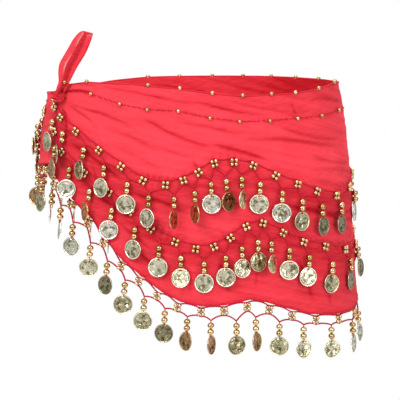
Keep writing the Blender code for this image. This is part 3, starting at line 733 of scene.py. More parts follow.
def shell(grid, thickness):
    """Close a wall round a grid of its middle points."""
    normal = np.cross(np.gradient(grid, axis=0), np.gradient(grid, axis=1))
    normal /= np.linalg.norm(normal, axis=-1, keepdims=True)
    rows, columns = grid.shape[:2]
    half = rows * columns
    points = np.concatenate([(grid + side * thickness * normal).reshape(-1, 3) for side in (0.5, -0.5)])
    index = np.arange(half).reshape(rows, columns)
    front = np.stack([index[:-1, :-1], index[1:, :-1], index[1:, 1:], index[:-1, 1:]], -1).reshape(-1, 4)
    rim = np.concatenate([index[0], index[1:, -1], index[-1, -2::-1], index[-2:0:-1, 0]])
    after = np.roll(rim, -1)
    sides = np.stack([rim, after, after + half, rim + half], -1)
    return points, np.concatenate([front, front[:, ::-1] + half, sides]).tolist()


def ring_faces(rings, sides):
    """Faces between rings of points, closed at both ends."""
    index = np.arange(rings * sides).reshape(rings, sides)
    beyond = np.roll(index, -1, axis=1)
    faces = np.stack([index[:-1], beyond[:-1], beyond[1:], index[1:]], -1).reshape(-1, 4).tolist()
    return faces + [index[0, ::-1].tolist(), index[-1].tolist()]


def tube(path, outward, radius, sides=6):
    """A closed round tube along a path, its sides counted from the outward direction."""
    along = np.gradient(path, axis=0)
    along /= np.linalg.norm(along, axis=-1, keepdims=True)
    across = np.cross(along, outward)
    across /= np.linalg.norm(across, axis=-1, keepdims=True)
    above = np.cross(across, along)
    turns = (2 * math.pi * np.arange(sides) / sides)[None, :, None]
    radius = np.broadcast_to(radius, len(path))[:, None, None]
    rings = path[:, None] + radius * (np.cos(turns) * above[:, None] + np.sin(turns) * across[:, None])
    return rings.reshape(-1, 3), ring_faces(len(path), sides)


def bead(radius, sides, levels, hole=0.16, squash=0.94):
    """A bead round the Z axis with a small hole through it."""
    start = math.asin(hole)
    tilt = np.linspace(start, math.pi - start, levels)[:, None]
    turns = 2 * math.pi * np.arange(sides) / sides
    points = np.stack([np.sin(tilt) * np.cos(turns), np.sin(tilt) * np.sin(turns),
                       np.cos(tilt) * squash + 0 * turns], -1) * radius
    index = np.arange(levels * sides).reshape(levels, sides)
    beyond = np.roll(index, -1, axis=1)
    faces = np.stack([index, np.roll(index, -1, axis=0), np.roll(beyond, -1, axis=0), beyond], -1)
    return points.reshape(-1, 3), faces.reshape(-1, 4).tolist()


def turned(points, first, second, third, centre):
    """Points with their X, Y and Z along three directions, moved to a centre."""
    return points @ np.stack([first, second, third]) + centre


def worn_marks(kind):
    """Places, reaches and heights of the soft lumps that are left of a coin's stamp."""
    chance = np.random.default_rng(MARK_SEED + kind)
    return chance.uniform(MARK_LEAST, MARK_MOST, (MARKS, 4))


def coin_relief(away, turn, kind):
    """Height of a coin's worn, generic relief over its flat face."""
    rim = RIM_TALL * ease((away - RIM_START) / RIM_SLOPE) * ease((RIM_END - away) / RIM_SLOPE)
    rim = rim - GROOVE_DEEP * bump_at(away, GROOVE_PLACE, GROOVE_REACH)
    dots = bump_at(away, DOTS_PLACE, DOTS_REACH) * (0.5 + 0.5 * np.cos(COIN_SIDES / 2 * turn))
    relief = rim + dots * (DOTS_TALL + DOTS_UNEVEN * np.cos(2 * turn + kind))
    for across, upward, reach, tall in worn_marks(kind):
        apart = np.hypot(away * np.cos(turn) - across, away * np.sin(turn) - upward)
        relief = relief + tall * bump_at(apart, 0.0, reach)
    return relief


def coin(kind):
    """A coin that stands upright in X and Z and faces Y, with a hole at its top."""
    rings = len(COIN_STATIONS)
    turns = 2 * math.pi * np.arange(COIN_SIDES) / COIN_SIDES
    away, turn = np.meshgrid(COIN_STATIONS, turns, indexing="ij")
    relief = coin_relief(away, turn, kind)
    count = rings * COIN_SIDES
    points, marks, faces = [], [], []
    for side in (1, -1):
        face = np.stack([away * np.cos(turn), side * (COIN_THICK / 2 - FIELD_SINK + relief),
                         away * np.sin(turn)], -1)
        middle = side * (COIN_THICK / 2 + coin_relief(0.0, 0.0, kind))
        points += [face.reshape(-1, 3), [[0, middle, 0]]]
        marks += [relief.ravel(), [PLAIN_RELIEF]]
    points.append(np.stack([COIN_RADIUS * np.cos(turns), 0 * turns, COIN_RADIUS * np.sin(turns)], -1))
    marks.append(np.full(COIN_SIDES, PLAIN_RELIEF))
    (low_ring, high_ring), (low_side, high_side) = HOLE_STATIONS, HOLE_SIDES
    for first in (0, count + 1):
        for side in range(COIN_SIDES):
            step = (side + 1) % COIN_SIDES - side
            faces.append((first + count, first + side, first + side + step))
            for ring in range(rings):
                if low_ring <= ring < high_ring and low_side <= side < high_side:
                    continue
                corner = first + ring * COIN_SIDES + side
                outer = corner + COIN_SIDES if ring < rings - 1 else 2 * count + 2 + side
                faces.append((corner, outer, outer + step, corner + step))
    rim = [(low_ring, side) for side in range(low_side, high_side)]
    rim += [(ring, high_side) for ring in range(low_ring, high_ring)]
    rim += [(high_ring, side) for side in range(high_side, low_side, -1)]
    rim += [(ring, low_side) for ring in range(high_ring, low_ring, -1)]
    numbers = [ring * COIN_SIDES + side for ring, side in rim]
    for start, end in zip(numbers, numbers[1:] + numbers[:1]):
        faces.append((start, end, end + count + 1, start + count + 1))
    return np.concatenate(points), faces, np.concatenate(marks)


COINS = [coin(kind) for kind in range(COIN_KINDS)]


def lift_of(drop, row_below):
    """How much further out a coin stands where it passes over the row below, as in the part."""
    if row_below is None:
        return 0.0
    passed = float(read(row_below, drop[0])) - (drop[1] - DROP_LENGTH)
    return min(OVER_MOST, max(OVER_LEAST, OVER_SHARE * passed)) if passed > OVER_START else 0.0


def drop_point(drop, below, on_wrap, lift):
    """The middle of a coin drop at a distance below its thread, as in the part."""
    hang, level, turn, lean = drop
    below = np.asarray(below, float)
    place = hang + lean * below / DROP_LENGTH
    out = lap_rise(place)
    if on_wrap:
        ready = ease((below - LOWER_BEAD) / STAND_FADE)
        coin_stand = COIN_STAND + lift + COIN_HALF * abs(math.sin(math.radians(turn)))
        out = out + BEAD_STAND + ready * (coin_stand - BEAD_STAND)
    return on_hips(place, level - below, out)


def coin_facing(around, height, turn):
    """The level direction that a turned coin faces."""
    angle = float(facing_at(around, height)) + math.radians(turn)
    return np.array((math.sin(angle), -math.cos(angle), 0))


def add_coin(parts, drop, finish, on_wrap, lift):
    """Hang one coin: its kind, bend and tilt differ from coin to coin."""
    points, faces, relief = COINS[int(CHANCE.integers(COIN_KINDS))]
    points = points.copy()
    dish, bend_across, bend_up = CHANCE.uniform(*COIN_BENDS, 3)
    across, up = points[:, 0] / COIN_RADIUS, points[:, 2] / COIN_RADIUS
    points[:, 1] += dish * (across ** 2 + up ** 2) + bend_across * across ** 2 + bend_up * up ** 2
    spin = math.radians(CHANCE.uniform(-COIN_SPIN, COIN_SPIN))
    tilt = math.radians(CHANCE.uniform(*COIN_TILTS))
    hang, level, turn, lean = drop
    face = coin_facing(hang + lean * COIN_BELOW / DROP_LENGTH, level, turn)
    along = beside(face)
    face, up = rolled(face, UP, tilt)
    across, up = rolled(along, up, spin)
    parts.add(turned(points, across, face, up, drop_point(drop, COIN_BELOW, on_wrap, lift)), faces,
              finish=FINISH_NUMBER[finish], relief=relief, draw=CHANCE.random())


def add_loop(parts, drop, on_wrap, lift):
    """The thread loop from the lower bead through the coin's hole."""
    turns = np.linspace(0, 2 * math.pi, LOOP_POINTS)[:, None]
    middle = (LOWER_BEAD + BEAD_RADIUS + COIN_BELOW - HOLE_RISE) / 2
    face = coin_facing(*drop[:3])
    path = drop_point(drop, middle, on_wrap, lift) + LOOP_DEEP * np.cos(turns) * face
    parts.add(*tube(path + LOOP_TALL * np.sin(turns) * UP, beside(face), LOOP_THREAD, 5))


def stitches(path, radius):
    """Radius along a thread that swells with each crochet stitch."""
    length = np.concatenate(([0], np.cumsum(np.linalg.norm(np.diff(path, axis=0), axis=1))))
    return radius * (STITCH_THIN + STITCH_SWELL * np.abs(np.sin(math.pi * length / THREAD_STITCH)))


def legs(nodes, hump):
    """Places of a thread that goes from node to node, each way bent up by a hump."""
    arounds, heights = [], []
    for (around, height), (to_around, to_height) in zip(nodes, nodes[1:]):
        count = max(2, int(math.hypot(to_around - around, to_height - height) / THREAD_STEP))
        share = np.arange(count) / count
        arounds.append(around + share * (to_around - around))
        heights.append(height + share * (to_height - height) + hump * 4 * share * (1 - share))
    return np.concatenate(arounds + [nodes[-1][:1]]), np.concatenate(heights + [nodes[-1][1:]])


def add_thread(parts, arounds, heights, radius, place, stand):
    """Lay a crochet thread along places of the cloth."""
    path = place(arounds, heights, stand)
    wobble = WOBBLE * np.sin(np.arange(len(path)) * WOBBLE_TURN)[:, None] * UP
    parts.add(*tube(path + wobble, outward_at(arounds, heights), stitches(path, radius)))


def slope_at(clusters, number):
    """Angle at which a row runs past one of its clusters."""
    before = clusters[max(0, number - 1)]
    after = clusters[min(len(clusters) - 1, number + 1)]
    return math.atan2(after[1] - before[1], after[0] - before[0])


def add_cluster(beads, threads, around, height, tilt, stand, place):
    """Four small beads in a square, with a knot of thread between them."""
    shape, faces = bead(SMALL_BEAD, 12, 9)
    outward = outward_at(around, height)
    across, up = rolled(beside(outward), UP, tilt)
    centre = place(around, height, stand)
    for sideways in (-CLUSTER_STEP, CLUSTER_STEP):
        for upward in (-CLUSTER_STEP, CLUSTER_STEP):
            uneven = CHANCE.uniform(-CLUSTER_UNEVEN, CLUSTER_UNEVEN, 3)
            moved = across * (sideways + uneven[0]) + up * (upward + uneven[1]) + outward * uneven[2]
            beads.add(turned(shape, up, outward, across, centre + moved), faces,
                      draw=0.5 + 0.6 * CHANCE.random())
    ends = np.linspace(-CROSS_HALF, CROSS_HALF, 7)[:, None]
    for direction in (across, up):
        threads.add(*tube(centre + direction * ends - outward * CROSS_BEHIND, outward, CROSS_THREAD, 5))


def add_drop(row, drop, finish, on_wrap, lift):
    """Hang two beads and a coin on their thread."""
    shape, faces = bead(BEAD_RADIUS, 20, 13)
    outward = outward_at(*drop[:2])
    for below in (UPPER_BEAD, LOWER_BEAD):
        axis, side = rolled(UP, beside(outward), math.radians(CHANCE.uniform(-BEAD_SWING, BEAD_SWING)))
        centre = drop_point(drop, below, on_wrap, lift)
        row["large_beads"].add(turned(shape, side, outward, axis, centre), faces, draw=CHANCE.random())
    path = drop_point(drop, np.linspace(-0.3, LOWER_BEAD + BEAD_RADIUS, 12), on_wrap, lift)
    if on_wrap:
        path = np.concatenate([on_fine_cloth(*drop[:2], DROP_ROOT)[None], path[2:]])
    row["threads"].add(*tube(path, outward, DROP_THREAD, 5))
    add_loop(row["threads"], drop, on_wrap, lift)
    add_coin(row["coins"], drop, finish, on_wrap, lift)


def finish_of(number, count, front):
    """Finish of a row's coin: listed for the front, in another order on the back."""
    if number < len(front):
        return front[number]
    return FINISH_BACK[(count - 1 - number) * 5 % len(FINISH_BACK)]


def new_row():
    """Empty parts for one row's pieces."""
    return {name: Parts() for name in ("coins", "large_beads", "cluster_beads", "threads")}


def row_pieces(name, node, row, crochet_look):
    """Make the pieces of one row."""
    looks = {"coins": COIN_METAL, "threads": crochet_look}
    return [make_piece(f"{name}_{kind}", parts, looks.get(kind, BEAD_METAL), "coin_trim", node)
            for kind, parts in row.items()]


def cloth_row(name, node, clusters, drops, front_finish, row_below):
    """One row on the cloth: threads, clusters, beads and coins."""
    row = new_row()
    lower = []
    for cluster, drop in zip(clusters, drops):
        lower += [(cluster[0], cluster[1] - ROW_BELOW), drop[:2]]
    lower.append((clusters[-1][0], clusters[-1][1] - ROW_BELOW))
    upper = [(around, height + ROW_ABOVE) for around, height in clusters]
    for nodes, hump in ((upper, UPPER_HUMP), (lower, LOWER_HUMP)):
        add_thread(row["threads"], *legs(nodes, hump), ROW_THREAD, on_fine_cloth, ROW_STAND)
    for number, (around, height) in enumerate(clusters):
        tilt = slope_at(clusters, number) + math.radians(CHANCE.uniform(-CLUSTER_TURN, CLUSTER_TURN))
        add_cluster(row["cluster_beads"], row["threads"], around, height, tilt, CLUSTER_STAND, on_fine_cloth)
    for number, drop in enumerate(drops):
        add_drop(row, drop, finish_of(number, len(drops), front_finish), True, lift_of(drop, row_below))
    return row_pieces(name, node, row, CROCHET_ROW)


def net_top(around):
    """Height of the net's upper thread in the part."""
    return min(float(hem_at(around + step)) for step in (-3, 0, 3)) - 2.0


def hem_row():
    """The crochet net along the hem, with its clusters, beads and coins."""
    row = new_row()
    upper, lower = [], [END_DROP[:2]]
    add_drop(row, END_DROP, FINISH_HEM[0], False, 0.0)
    for number, (around, height) in enumerate(HEM_CLUSTERS):
        top = min(net_top(around), height + NET_HALF + 0.2)
        upper.append((around, top))
        lower.append((around, top - 2 * NET_HALF))
        tilt = NET_TILT * slope_at(HEM_CLUSTERS, number) + math.radians(CHANCE.uniform(-NET_TURN, NET_TURN))
        add_cluster(row["cluster_beads"], row["threads"], around, top - NET_HALF, tilt, 0.0, on_cloth)
        if number < len(HEM_DROPS):
            drop = HEM_DROPS[number]
            lower.append(drop[:2])
            add_drop(row, drop, finish_of(number, len(HEM_DROPS), FINISH_HEM[1:]), False, 0.0)
    arounds = np.arange(upper[0][0], upper[-1][0], THREAD_STEP)
    along_hem = hem_at(arounds) - NET_BELOW
    for around, top in upper:
        dip = max(0.0, float(hem_at(around)) - NET_BELOW - top)
        along_hem = along_hem - dip * bump_at(arounds, around, NET_DIP)
    add_thread(row["threads"], arounds, along_hem, NET_THREAD, on_cloth, 0.0)
    add_thread(row["threads"], *legs(lower, NET_HUMP), NET_THREAD, on_cloth, 0.0)
    return row_pieces("hem", "hem_fringe", row, CROCHET_NET)


def shade_of(around, height):
    """How dark the cloth is at a place: mostly painted shade, in creases and gathers and under the rows."""
    shade = SHADE_LEAST + SHADE_CREASE * np.clip(-creases_at(around, height) / CREASE_FULL, 0, 1)
    shade = shade + SHADE_SIDE * ease((np.minimum(around, GIRTH - around) - 190) / 240)
    for clusters, (middle, reach, strength, pitch) in zip((UPPER_CLUSTERS, LOWER_CLUSTERS), SHADE_BANDS):
        line = read(clusters, around)
        shade = shade + strength * bump_at(line - height, middle, reach)
        shade = shade + SHADE_BELOW * ease((line - height) / 12)
        shade = shade + SHADE_GATHER * np.clip(-pucker(around, height, line + 3.0, pitch, 7.5, 1.0), 0, 1)
    second_line = second_line_at(around)
    gathered = np.clip(-pucker(around, height, second_line, SECOND_GATHER[0], 3.2, 1.0), 0, 1)
    shade = shade + SHADE_TOP * bump_at(height, top_at(around) - 6, 16) * ease((around - 110) / 120)
    shade = shade + SHADE_LINE * bump_at(height, second_line, 2.0) + SHADE_LINE_GATHER * gathered
    shade = shade + SHADE_HEM * bump_at(height, hem_at(around), 2.5)
    return np.clip(shade * (1 - STRIP_LIGHTER * ease((around - STRIP_START) / 40)), 0, 1)


def wrap_cloth():
    """The length of chiffon wound once round the hips, with all its folds and creases."""
    down, across = np.meshgrid(np.linspace(0, 1, WRAP_ROWS + 1), np.linspace(0, 1, WRAP_COLUMNS + 1),
                               indexing="ij")
    front_end = read(END_EDGES, down, 1)
    around = front_end + across * (read(END_EDGES, down, 2) - front_end)
    top = top_at(around)
    height = top + down * (hem_at(around) - top)
    parts = Parts()
    outside = shade_of(around, height)
    # Painted shade: the inner face darker than the outer, most by the right hip
    inside = np.clip(outside + INSIDE_DARKER + CORNER_DARKER * bump_at(around, CORNER_PLACE, 80), 0, 1)
    parts.add(*shell(on_fine_cloth(around, height), FINE_CLOTH), shade=np.stack([outside, inside]).ravel())
    uv = np.stack([np.minimum(around, GIRTH - around), height], -1).reshape(-1, 2) / WEAVE_SIZE
    return make_piece("wrap_cloth", parts, CHIFFON, "chiffon", "wrap", uv=np.concatenate([uv, uv]))


def edge_threads():
    """Threads along the top edge, the hem and the second line, which is sewn in short stitches."""
    parts = Parts()
    around = np.arange(5, 884, THREAD_STEP)
    add_thread(parts, around, top_at(around) + 0.2, EDGE_THREAD, on_fine_cloth, 0.1)
    around = np.arange(22, 876, THREAD_STEP)
    add_thread(parts, around, hem_at(around) + 0.1, EDGE_THREAD, on_fine_cloth, 0.2)
    start = 30.0
    while start < GIRTH - 32:
        length = 4.2 + 1.6 * math.sin(start * 1.7)
        around = np.linspace(start, start + length, 6)
        height = second_line_at(around) + 0.35 * np.sin(around * 0.9)
        add_thread(parts, around, height, LINE_THREAD, on_fine_cloth, LINE_THREAD + FINE_CLOTH / 2)
        start += length + 1.5 + 0.7 * math.sin(start)
    return make_piece("edge_threads", parts, CROCHET_ROW, "chiffon", "wrap")


def edge_beads():
    """Small beads on the top edge, on the second line and at the knot."""
    parts = Parts()
    shape, faces = bead(EDGE_BEAD, 14, 10)
    places = [(around, float(top_at(around)) + 1.0, 1.0) for around in EDGE_BEADS]
    for around in SECOND_BEADS + tuple(GIRTH - place for place in SECOND_BEADS_BACK):
        places.append((around, float(second_line_at(around)), EDGE_BEAD + FINE_CLOTH / 2))
    for around, height, stand in sorted(places + list(KNOT_BEADS)):
        outward = outward_at(around, height)
        centre = on_fine_cloth(around, height, stand)
        parts.add(turned(shape, UP, outward, beside(outward), centre), faces, draw=CHANCE.random())
    return make_piece("edge_beads", parts, BEAD_METAL, "chiffon", "wrap")


def smooth_between(rows, count):
    """Points on a smooth curve through rows of numbers."""
    rows = np.array(rows, float)
    padded = np.concatenate([2 * rows[:1] - rows[1:2], rows, 2 * rows[-1:] - rows[-2:-1]])
    place = np.linspace(0, len(rows) - 1, count)
    number = np.minimum(place.astype(int), len(rows) - 2)
    share = (place - number)[:, None]
    before, start, end, after = (padded[number + step] for step in range(4))
    return 0.5 * (2 * start + (end - before) * share + (2 * before - 5 * start + 4 * end - after) * share ** 2
                  + (3 * start - before - 3 * end + after) * share ** 3)


def spots(table, place, upward):
    """Sum of soft spots on the tied end."""
    return sum(strength * bump_at(place, middle, reach) * bump_at(upward, level, rise)
               for strength, middle, reach, level, rise in table)


def tied_end_cloth():
    """The folded strip above the knot, open to the front, with lengthwise creases."""
    rows = smooth_between(sorted(TIED_END, reverse=True), TIED_ROWS)
    share, depth = smooth_between(TIED_SECTION, TIED_COLUMNS).T[:, None]
    height, left, right, back_depth, lip_depth = rows.T[:, :, None]
    place = np.linspace(0, 1, TIED_COLUMNS)[None]
    upward = (height - height.min()) / (height.max() - height.min())
    creases = TIED_CREASE * np.sin(9.0 * math.pi * place + 2.2 * upward) * ease(upward / 0.2)
    creases = creases + TIED_GATHER * bump_at(upward, 0.0, 0.18) * np.sin(11 * math.pi * place)
    middle = TIED_DEPTH + TIED_BACK * ease((2 - height) / 12)
    reach = np.where(depth > 0, back_depth, lip_depth)
    across = left + share * (right - left)
    grid = np.stack([across, middle + depth * reach + creases, height + 0 * share], -1)
    # The shade mark: the front lip darker, and the painted shade of the table above
    inside = TIED_SHADE * (1 - ease((place - POCKET_START) / 0.14)) + spots(TIED_SHADES, place, upward)
    # The pale mark: painted highlights along the lip's edge and at the tip
    tip = bump_at(upward, 0.97, 0.05) * ease((place - 0.6) / 0.3)
    pale = spots(TIED_HIGHLIGHTS, place, upward) + TIP_HIGHLIGHT * tip
    parts = Parts()
    parts.add(*shell(grid, FINE_CLOTH), shade=np.tile(np.clip(inside, 0, 1).ravel(), 2),
              pale=np.tile(np.clip(pale, 0, 1).ravel(), 2))
    uv = np.stack([place * 4 + 0 * upward, height / WEAVE_SIZE + 0 * place], -1).reshape(-1, 2)
    uv = np.concatenate([uv, uv])
    return make_piece("tied_end_cloth", parts, CHIFFON, "tied_chiffon", "tied_end", uv=uv)


def knot_cloth():
    """The tight knot over the lap, creased where the cloth turns in."""
    outward = outward_at(KNOT_AROUND, KNOT_HEIGHT)
    tilt, turn = np.meshgrid(np.linspace(0.04, math.pi - 0.04, KNOT_RINGS),
                             2 * math.pi * np.arange(KNOT_SIDES) / KNOT_SIDES, indexing="ij")
    fine = 1 - np.abs(np.sin(4.5 * turn + 2.6 * tilt + 0.8 * np.sin(2 * tilt)))
    crease = 1 - KNOT_CREASE * (0.5 + 0.5 * np.cos(3 * turn + 2 * tilt)) - KNOT_FINE * fine ** 2
    crease = crease - KNOT_RIPPLE * np.cos(9 * turn - 3 * tilt)
    ball = np.stack([np.cos(tilt), np.sin(tilt) * np.cos(turn), np.sin(tilt) * np.sin(turn)], -1)
    points = turned(crease[..., None] * ball * KNOT_HALF, beside(outward), UP, outward,
                    on_hips(KNOT_AROUND, KNOT_HEIGHT, KNOT_STAND))
    parts = Parts()
    # The shade mark: the knot darker all over, with painted shade deepest in its creases
    parts.add(points, ring_faces(KNOT_RINGS, KNOT_SIDES),
              shade=np.clip(KNOT_SHADE + KNOT_DARKER * fine ** 1.5, 0, 1).ravel())
    uv = np.stack([turn * 0.6, tilt * 0.8], -1).reshape(-1, 2)
    return make_piece("knot_cloth", parts, CHIFFON, "tied_chiffon", "knot", uv=uv)


class Nodes:
    """The nodes of a material or of the world, with short calls to add and join them."""

    def __init__(self, owner):
        owner.use_nodes = True
        self.owner = owner
        self.tree = owner.node_tree

    def fill(self, node, inputs):
        """Put numbers into a node's inputs, or link other nodes' outputs to them."""
        for place, value in dict(inputs).items():
            if isinstance(value, bpy.types.NodeSocket):
                self.tree.links.new(value, node.inputs[place])
            else:
                node.inputs[place].default_value = value
        return node

    def add(self, kind, inputs=(), **settings):
        """Add a node, set it up and fill its inputs."""
        node = self.tree.nodes.new("ShaderNode" + kind)
        for setting, value in settings.items():
            setattr(node, setting, value)
        return self.fill(node, inputs)

    def look(self, **inputs):
        """Fill the material's own shader, its inputs named with low lines for spaces."""
        shader = self.tree.nodes["Principled BSDF"]
        self.fill(shader, {name.replace("_", " "): value for name, value in inputs.items()})
        return self.owner

    def mark(self, name):
        """A number that the piece's points carry."""
        return self.add("Attribute", attribute_name=name).outputs["Fac"]

    def noise(self, scale, detail=3.0, roughness=0.55, place=None):
        """Cloudy noise in the piece's own space or at another place."""
        if place is None:
            place = self.add("TexCoord").outputs["Object"]
        return self.add("TexNoise", {"Vector": place, "Scale": scale, "Detail": detail,
                                     "Roughness": roughness}).outputs["Fac"]

    def plus(self, first, second, clamp=False):
        """Two numbers added."""
        return self.add("Math", {0: first, 1: second}, operation="ADD", use_clamp=clamp).outputs[0]

    def times(self, first, second):
        """Two numbers multiplied."""
        return self.add("Math", {0: first, 1: second}, operation="MULTIPLY").outputs[0]

    def ramp(self, factor, stops):
        """Colours or greys by a number, from places and colours or greys."""
        node = self.add("ValToRGB", {"Fac": factor})
        elements = node.color_ramp.elements
        while len(elements) < len(stops):
            elements.new(0.5)
        for element, (place, colour) in zip(elements, stops):
            element.position = place
            element.color = (*colour, 1) if isinstance(colour, tuple) else (colour, colour, colour, 1)
        return node.outputs["Color"]

    def mix(self, factor, first, second, blend="MIX"):
        """Blend two colours."""
        inputs = {"Factor": factor, "A": first, "B": second}
        return self.add("Mix", inputs, data_type="RGBA", blend_type=blend).outputs["Result"]

    def bump(self, height, strength, distance):
        """A bump from a height in 0 to 1, as deep as a distance in metres."""
        inputs = {"Height": height, "Strength": strength, "Distance": distance}
        return self.add("Bump", inputs).outputs["Normal"]


def new_material(name):
    """Nodes of a new material."""
    return Nodes(bpy.data.materials.new(name))


def streaks(nodes, place, angle, size, detail):
    """Noise drawn out along one direction of the weave, as fine creases."""
    inputs = {"Vector": place, "Rotation": (0, 0, math.radians(angle)), "Scale": size}
    drawn = nodes.add("Mapping", inputs, vector_type="TEXTURE").outputs["Vector"]
    return nodes.noise(1.0, detail, 0.6, drawn)


def chiffon():
    """Sheer coral-red chiffon: fine weave, crinkles, long fine creases, soft sheen and light through it."""
    nodes = new_material("chiffon_cloth")
    weave_place = nodes.add("UVMap", uv_map="weave").outputs["UV"]
    # Streaks of fine creases, which add painted shade to the colour and dents to the bump
    fine = nodes.plus(*(nodes.times(streaks(nodes, weave_place, angle, size, detail), strength)
                        for angle, size, detail, strength in STREAKS))
    clouds = nodes.times(nodes.plus(nodes.noise(34, 4), -0.5), CLOUD_STRENGTH)
    cloudy = nodes.plus(nodes.plus(fine, -STREAK_MEAN), clouds)
    # Colour: painted shade from the shade mark and the streaks, random clouds, and painted highlights from
    # the pale mark
    shade = nodes.plus(nodes.mark("shade"), cloudy, clamp=True)
    colour = nodes.mix(nodes.mark("pale"), nodes.mix(shade, CLOTH_LIGHT, CLOTH_SHADED), CLOTH_HIGHLIGHT)
    threads = [nodes.add("TexWave", {"Vector": weave_place, "Scale": 6.5, "Distortion": 1.2, "Detail": 1.0,
                                     "Detail Scale": 1.5}, bands_direction=direction).outputs["Fac"]
               for direction in ("X", "Y")]
    weave = nodes.times(nodes.plus(*threads), WEAVE_DEPTH)
    crinkle = nodes.times(nodes.noise(170, 4, 0.6), CRINKLE_DEPTH)
    uneven = nodes.plus(nodes.plus(weave, crinkle), nodes.times(fine, -STREAK_DEPTH))
    material = nodes.look(
        Base_Color=colour, Roughness=nodes.plus(nodes.times(nodes.noise(120, 2), 0.2), 0.58),
        Normal=nodes.bump(uneven, 0.7, 0.0016), Specular_IOR_Level=0.15,
        Sheen_Weight=0.08, Sheen_Roughness=0.45, Sheen_Tint=(1.0, 0.35, 0.42, 1))
    through = nodes.add("BsdfTranslucent", {"Color": CLOTH_THIN}).outputs["BSDF"]
    solid = nodes.tree.nodes["Principled BSDF"].outputs["BSDF"]
    both = nodes.add("MixShader", {0: LIGHT_THROUGH, 1: solid, 2: through}).outputs["Shader"]
    nodes.fill(nodes.tree.nodes["Material Output"], {"Surface": both})
    return material


def crochet(name, dark, light):
    """Red crochet cotton with a fuzzy, uneven face."""
    nodes = new_material(name)
    return nodes.look(
        Base_Color=nodes.ramp(nodes.noise(900, 3), ((0.3, dark), (0.7, light))), Roughness=0.72,
        Normal=nodes.bump(nodes.noise(2400, 3), 0.6, 0.0003), Specular_IOR_Level=0.2,
        Sheen_Weight=0.1, Sheen_Tint=(1.0, 0.4, 0.5, 1))


def bead_metal():
    """Shiny gold beads, each a little different, with faint scratches and tarnish."""
    nodes = new_material("bead_gold")
    tone = nodes.plus(nodes.times(nodes.mark("draw"), 0.5), nodes.times(nodes.noise(420, 3), 0.5), clamp=True)
    return nodes.look(
        Base_Color=nodes.ramp(tone, BEAD_COLOURS), Metallic=1.0,
        Roughness=nodes.ramp(nodes.noise(700, 4), ((0.3, 0.09), (0.75, 0.22))),
        Normal=nodes.bump(nodes.noise(600, 3), 0.25, 0.0003))


def coin_metal():
    """Worn stamped coins: from near white over pale gold, olive and brown to copper, dark in the hollows."""
    nodes = new_material("coin_worn_metal")
    blotch = nodes.times(nodes.plus(nodes.noise(300, 4, 0.6), -0.5), 0.5)
    face = nodes.ramp(nodes.plus(nodes.mark("finish"), blotch, clamp=True), COIN_COLOURS)
    # Painted reflections: blotches of pink and green
    tinted = nodes.mix(REFLECTION_SHARE, face, nodes.ramp(nodes.noise(420, 2), REFLECTION_TINTS), "MULTIPLY")
    hollow = nodes.plus(nodes.times(nodes.mark("relief"), 2.3), nodes.times(nodes.noise(330, 2, 0.5), 0.8))
    beaten = nodes.plus(nodes.noise(240, 2), nodes.times(nodes.noise(600, 2), 0.1))
    return nodes.look(
        Base_Color=nodes.mix(1.0, tinted, nodes.ramp(hollow, GRIME_COLOURS), "MULTIPLY"), Metallic=0.95,
        Roughness=nodes.ramp(nodes.noise(380, 4), ((0.3, 0.16), (0.72, 0.36))),
        Normal=nodes.bump(beaten, 0.6, 0.0013))


def floor_material():
    """Plain pale studio paper."""
    nodes = new_material("studio_paper")
    return nodes.look(Base_Color=nodes.ramp(nodes.noise(3, 2), ((0.3, 0.86), (0.7, 0.90))), Roughness=0.8)


def aim(thing, place, target):
    """Put a lamp or the camera at a place, looking at a target."""
    thing.location = place
    thing.rotation_euler = (Vector(target) - Vector(place)).to_track_quat("-Z", "Y").to_euler()


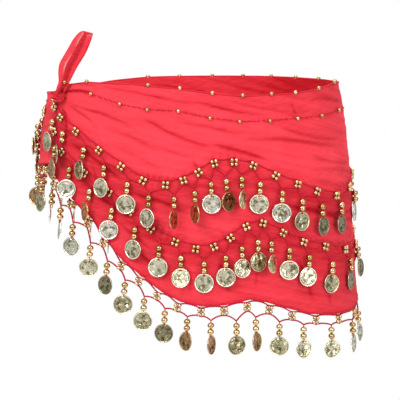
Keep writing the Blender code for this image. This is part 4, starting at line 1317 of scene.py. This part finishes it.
def studio():
    """A pale floor and soft lamps."""
    mesh = bpy.data.meshes.new("studio_floor")
    signs = ((-1, -1), (1, -1), (1, 1), (-1, 1))
    corners = [(x * FLOOR_HALF, y * FLOOR_HALF, FLOOR_HEIGHT) for x, y in signs]
    mesh.from_pydata(corners, [], [(0, 1, 2, 3)])
    mesh.materials.append(floor_material())
    put("studio_floor", mesh)
    for name, place, size, energy in LAMPS:
        lamp = bpy.data.lights.new(name, "AREA")
        lamp.size = size
        lamp.energy = energy
        aim(put(name, lamp), place, TARGET)


def surrounding():
    """White where the camera looks, and a studio that is darker low down for the metal to mirror."""
    world = bpy.data.worlds.new("studio")
    bpy.context.scene.world = world
    nodes = Nodes(world)
    nodes.tree.nodes.clear()
    upward = nodes.add("SeparateXYZ", {0: nodes.add("TexCoord").outputs["Generated"]}).outputs["Z"]
    level = nodes.add("MapRange", {"From Min": -1.0, "Value": upward}).outputs[0]
    lit = nodes.add("Background", {"Color": nodes.ramp(level, STUDIO_GREYS), "Strength": STUDIO_STRENGTH})
    seen = nodes.add("Background", {"Color": (1, 1, 1, 1), "Strength": 1.0})
    looked_at = nodes.add("LightPath").outputs["Is Camera Ray"]
    both = nodes.add("MixShader", {0: looked_at, 1: lit.outputs[0], 2: seen.outputs[0]})
    nodes.add("OutputWorld", {"Surface": both.outputs[0]})
    bpy.context.scene.view_settings.view_transform = "Standard"


def camera():
    """The camera of the photograph, a little above the scarf and straight in front of it."""
    lens = bpy.data.cameras.new("camera")
    lens.sensor_width = SENSOR
    lens.lens = SENSOR * CAMERA_AWAY / MM / (PICTURE_SCALE * PICTURE_PIXELS)
    lift = math.radians(CAMERA_LIFT)
    place = Vector(TARGET) + Vector((0, -math.cos(lift), math.sin(lift))) * CAMERA_AWAY
    bpy.context.scene.camera = put("camera", lens)
    aim(bpy.context.scene.camera, place, TARGET)


CHIFFON = chiffon()
CROCHET_ROW = crochet("crochet_on_cloth", *ROW_REDS)
CROCHET_NET = crochet("crochet_net", *NET_REDS)
BEAD_METAL = bead_metal()
COIN_METAL = coin_metal()

wrap_piece = wrap_cloth()
tied_piece = tied_end_cloth()
knot_cloth()
trims = [edge_threads(), edge_beads()]
trims += cloth_row("upper", "coin_row_upper", UPPER_CLUSTERS, UPPER_DROPS, FINISH_UPPER, LOWER_CLUSTERS)
trims += cloth_row("lower", "coin_row_lower", LOWER_CLUSTERS, LOWER_DROPS, FINISH_LOWER, None)
trims += hem_row()
studio()
surrounding()
camera()
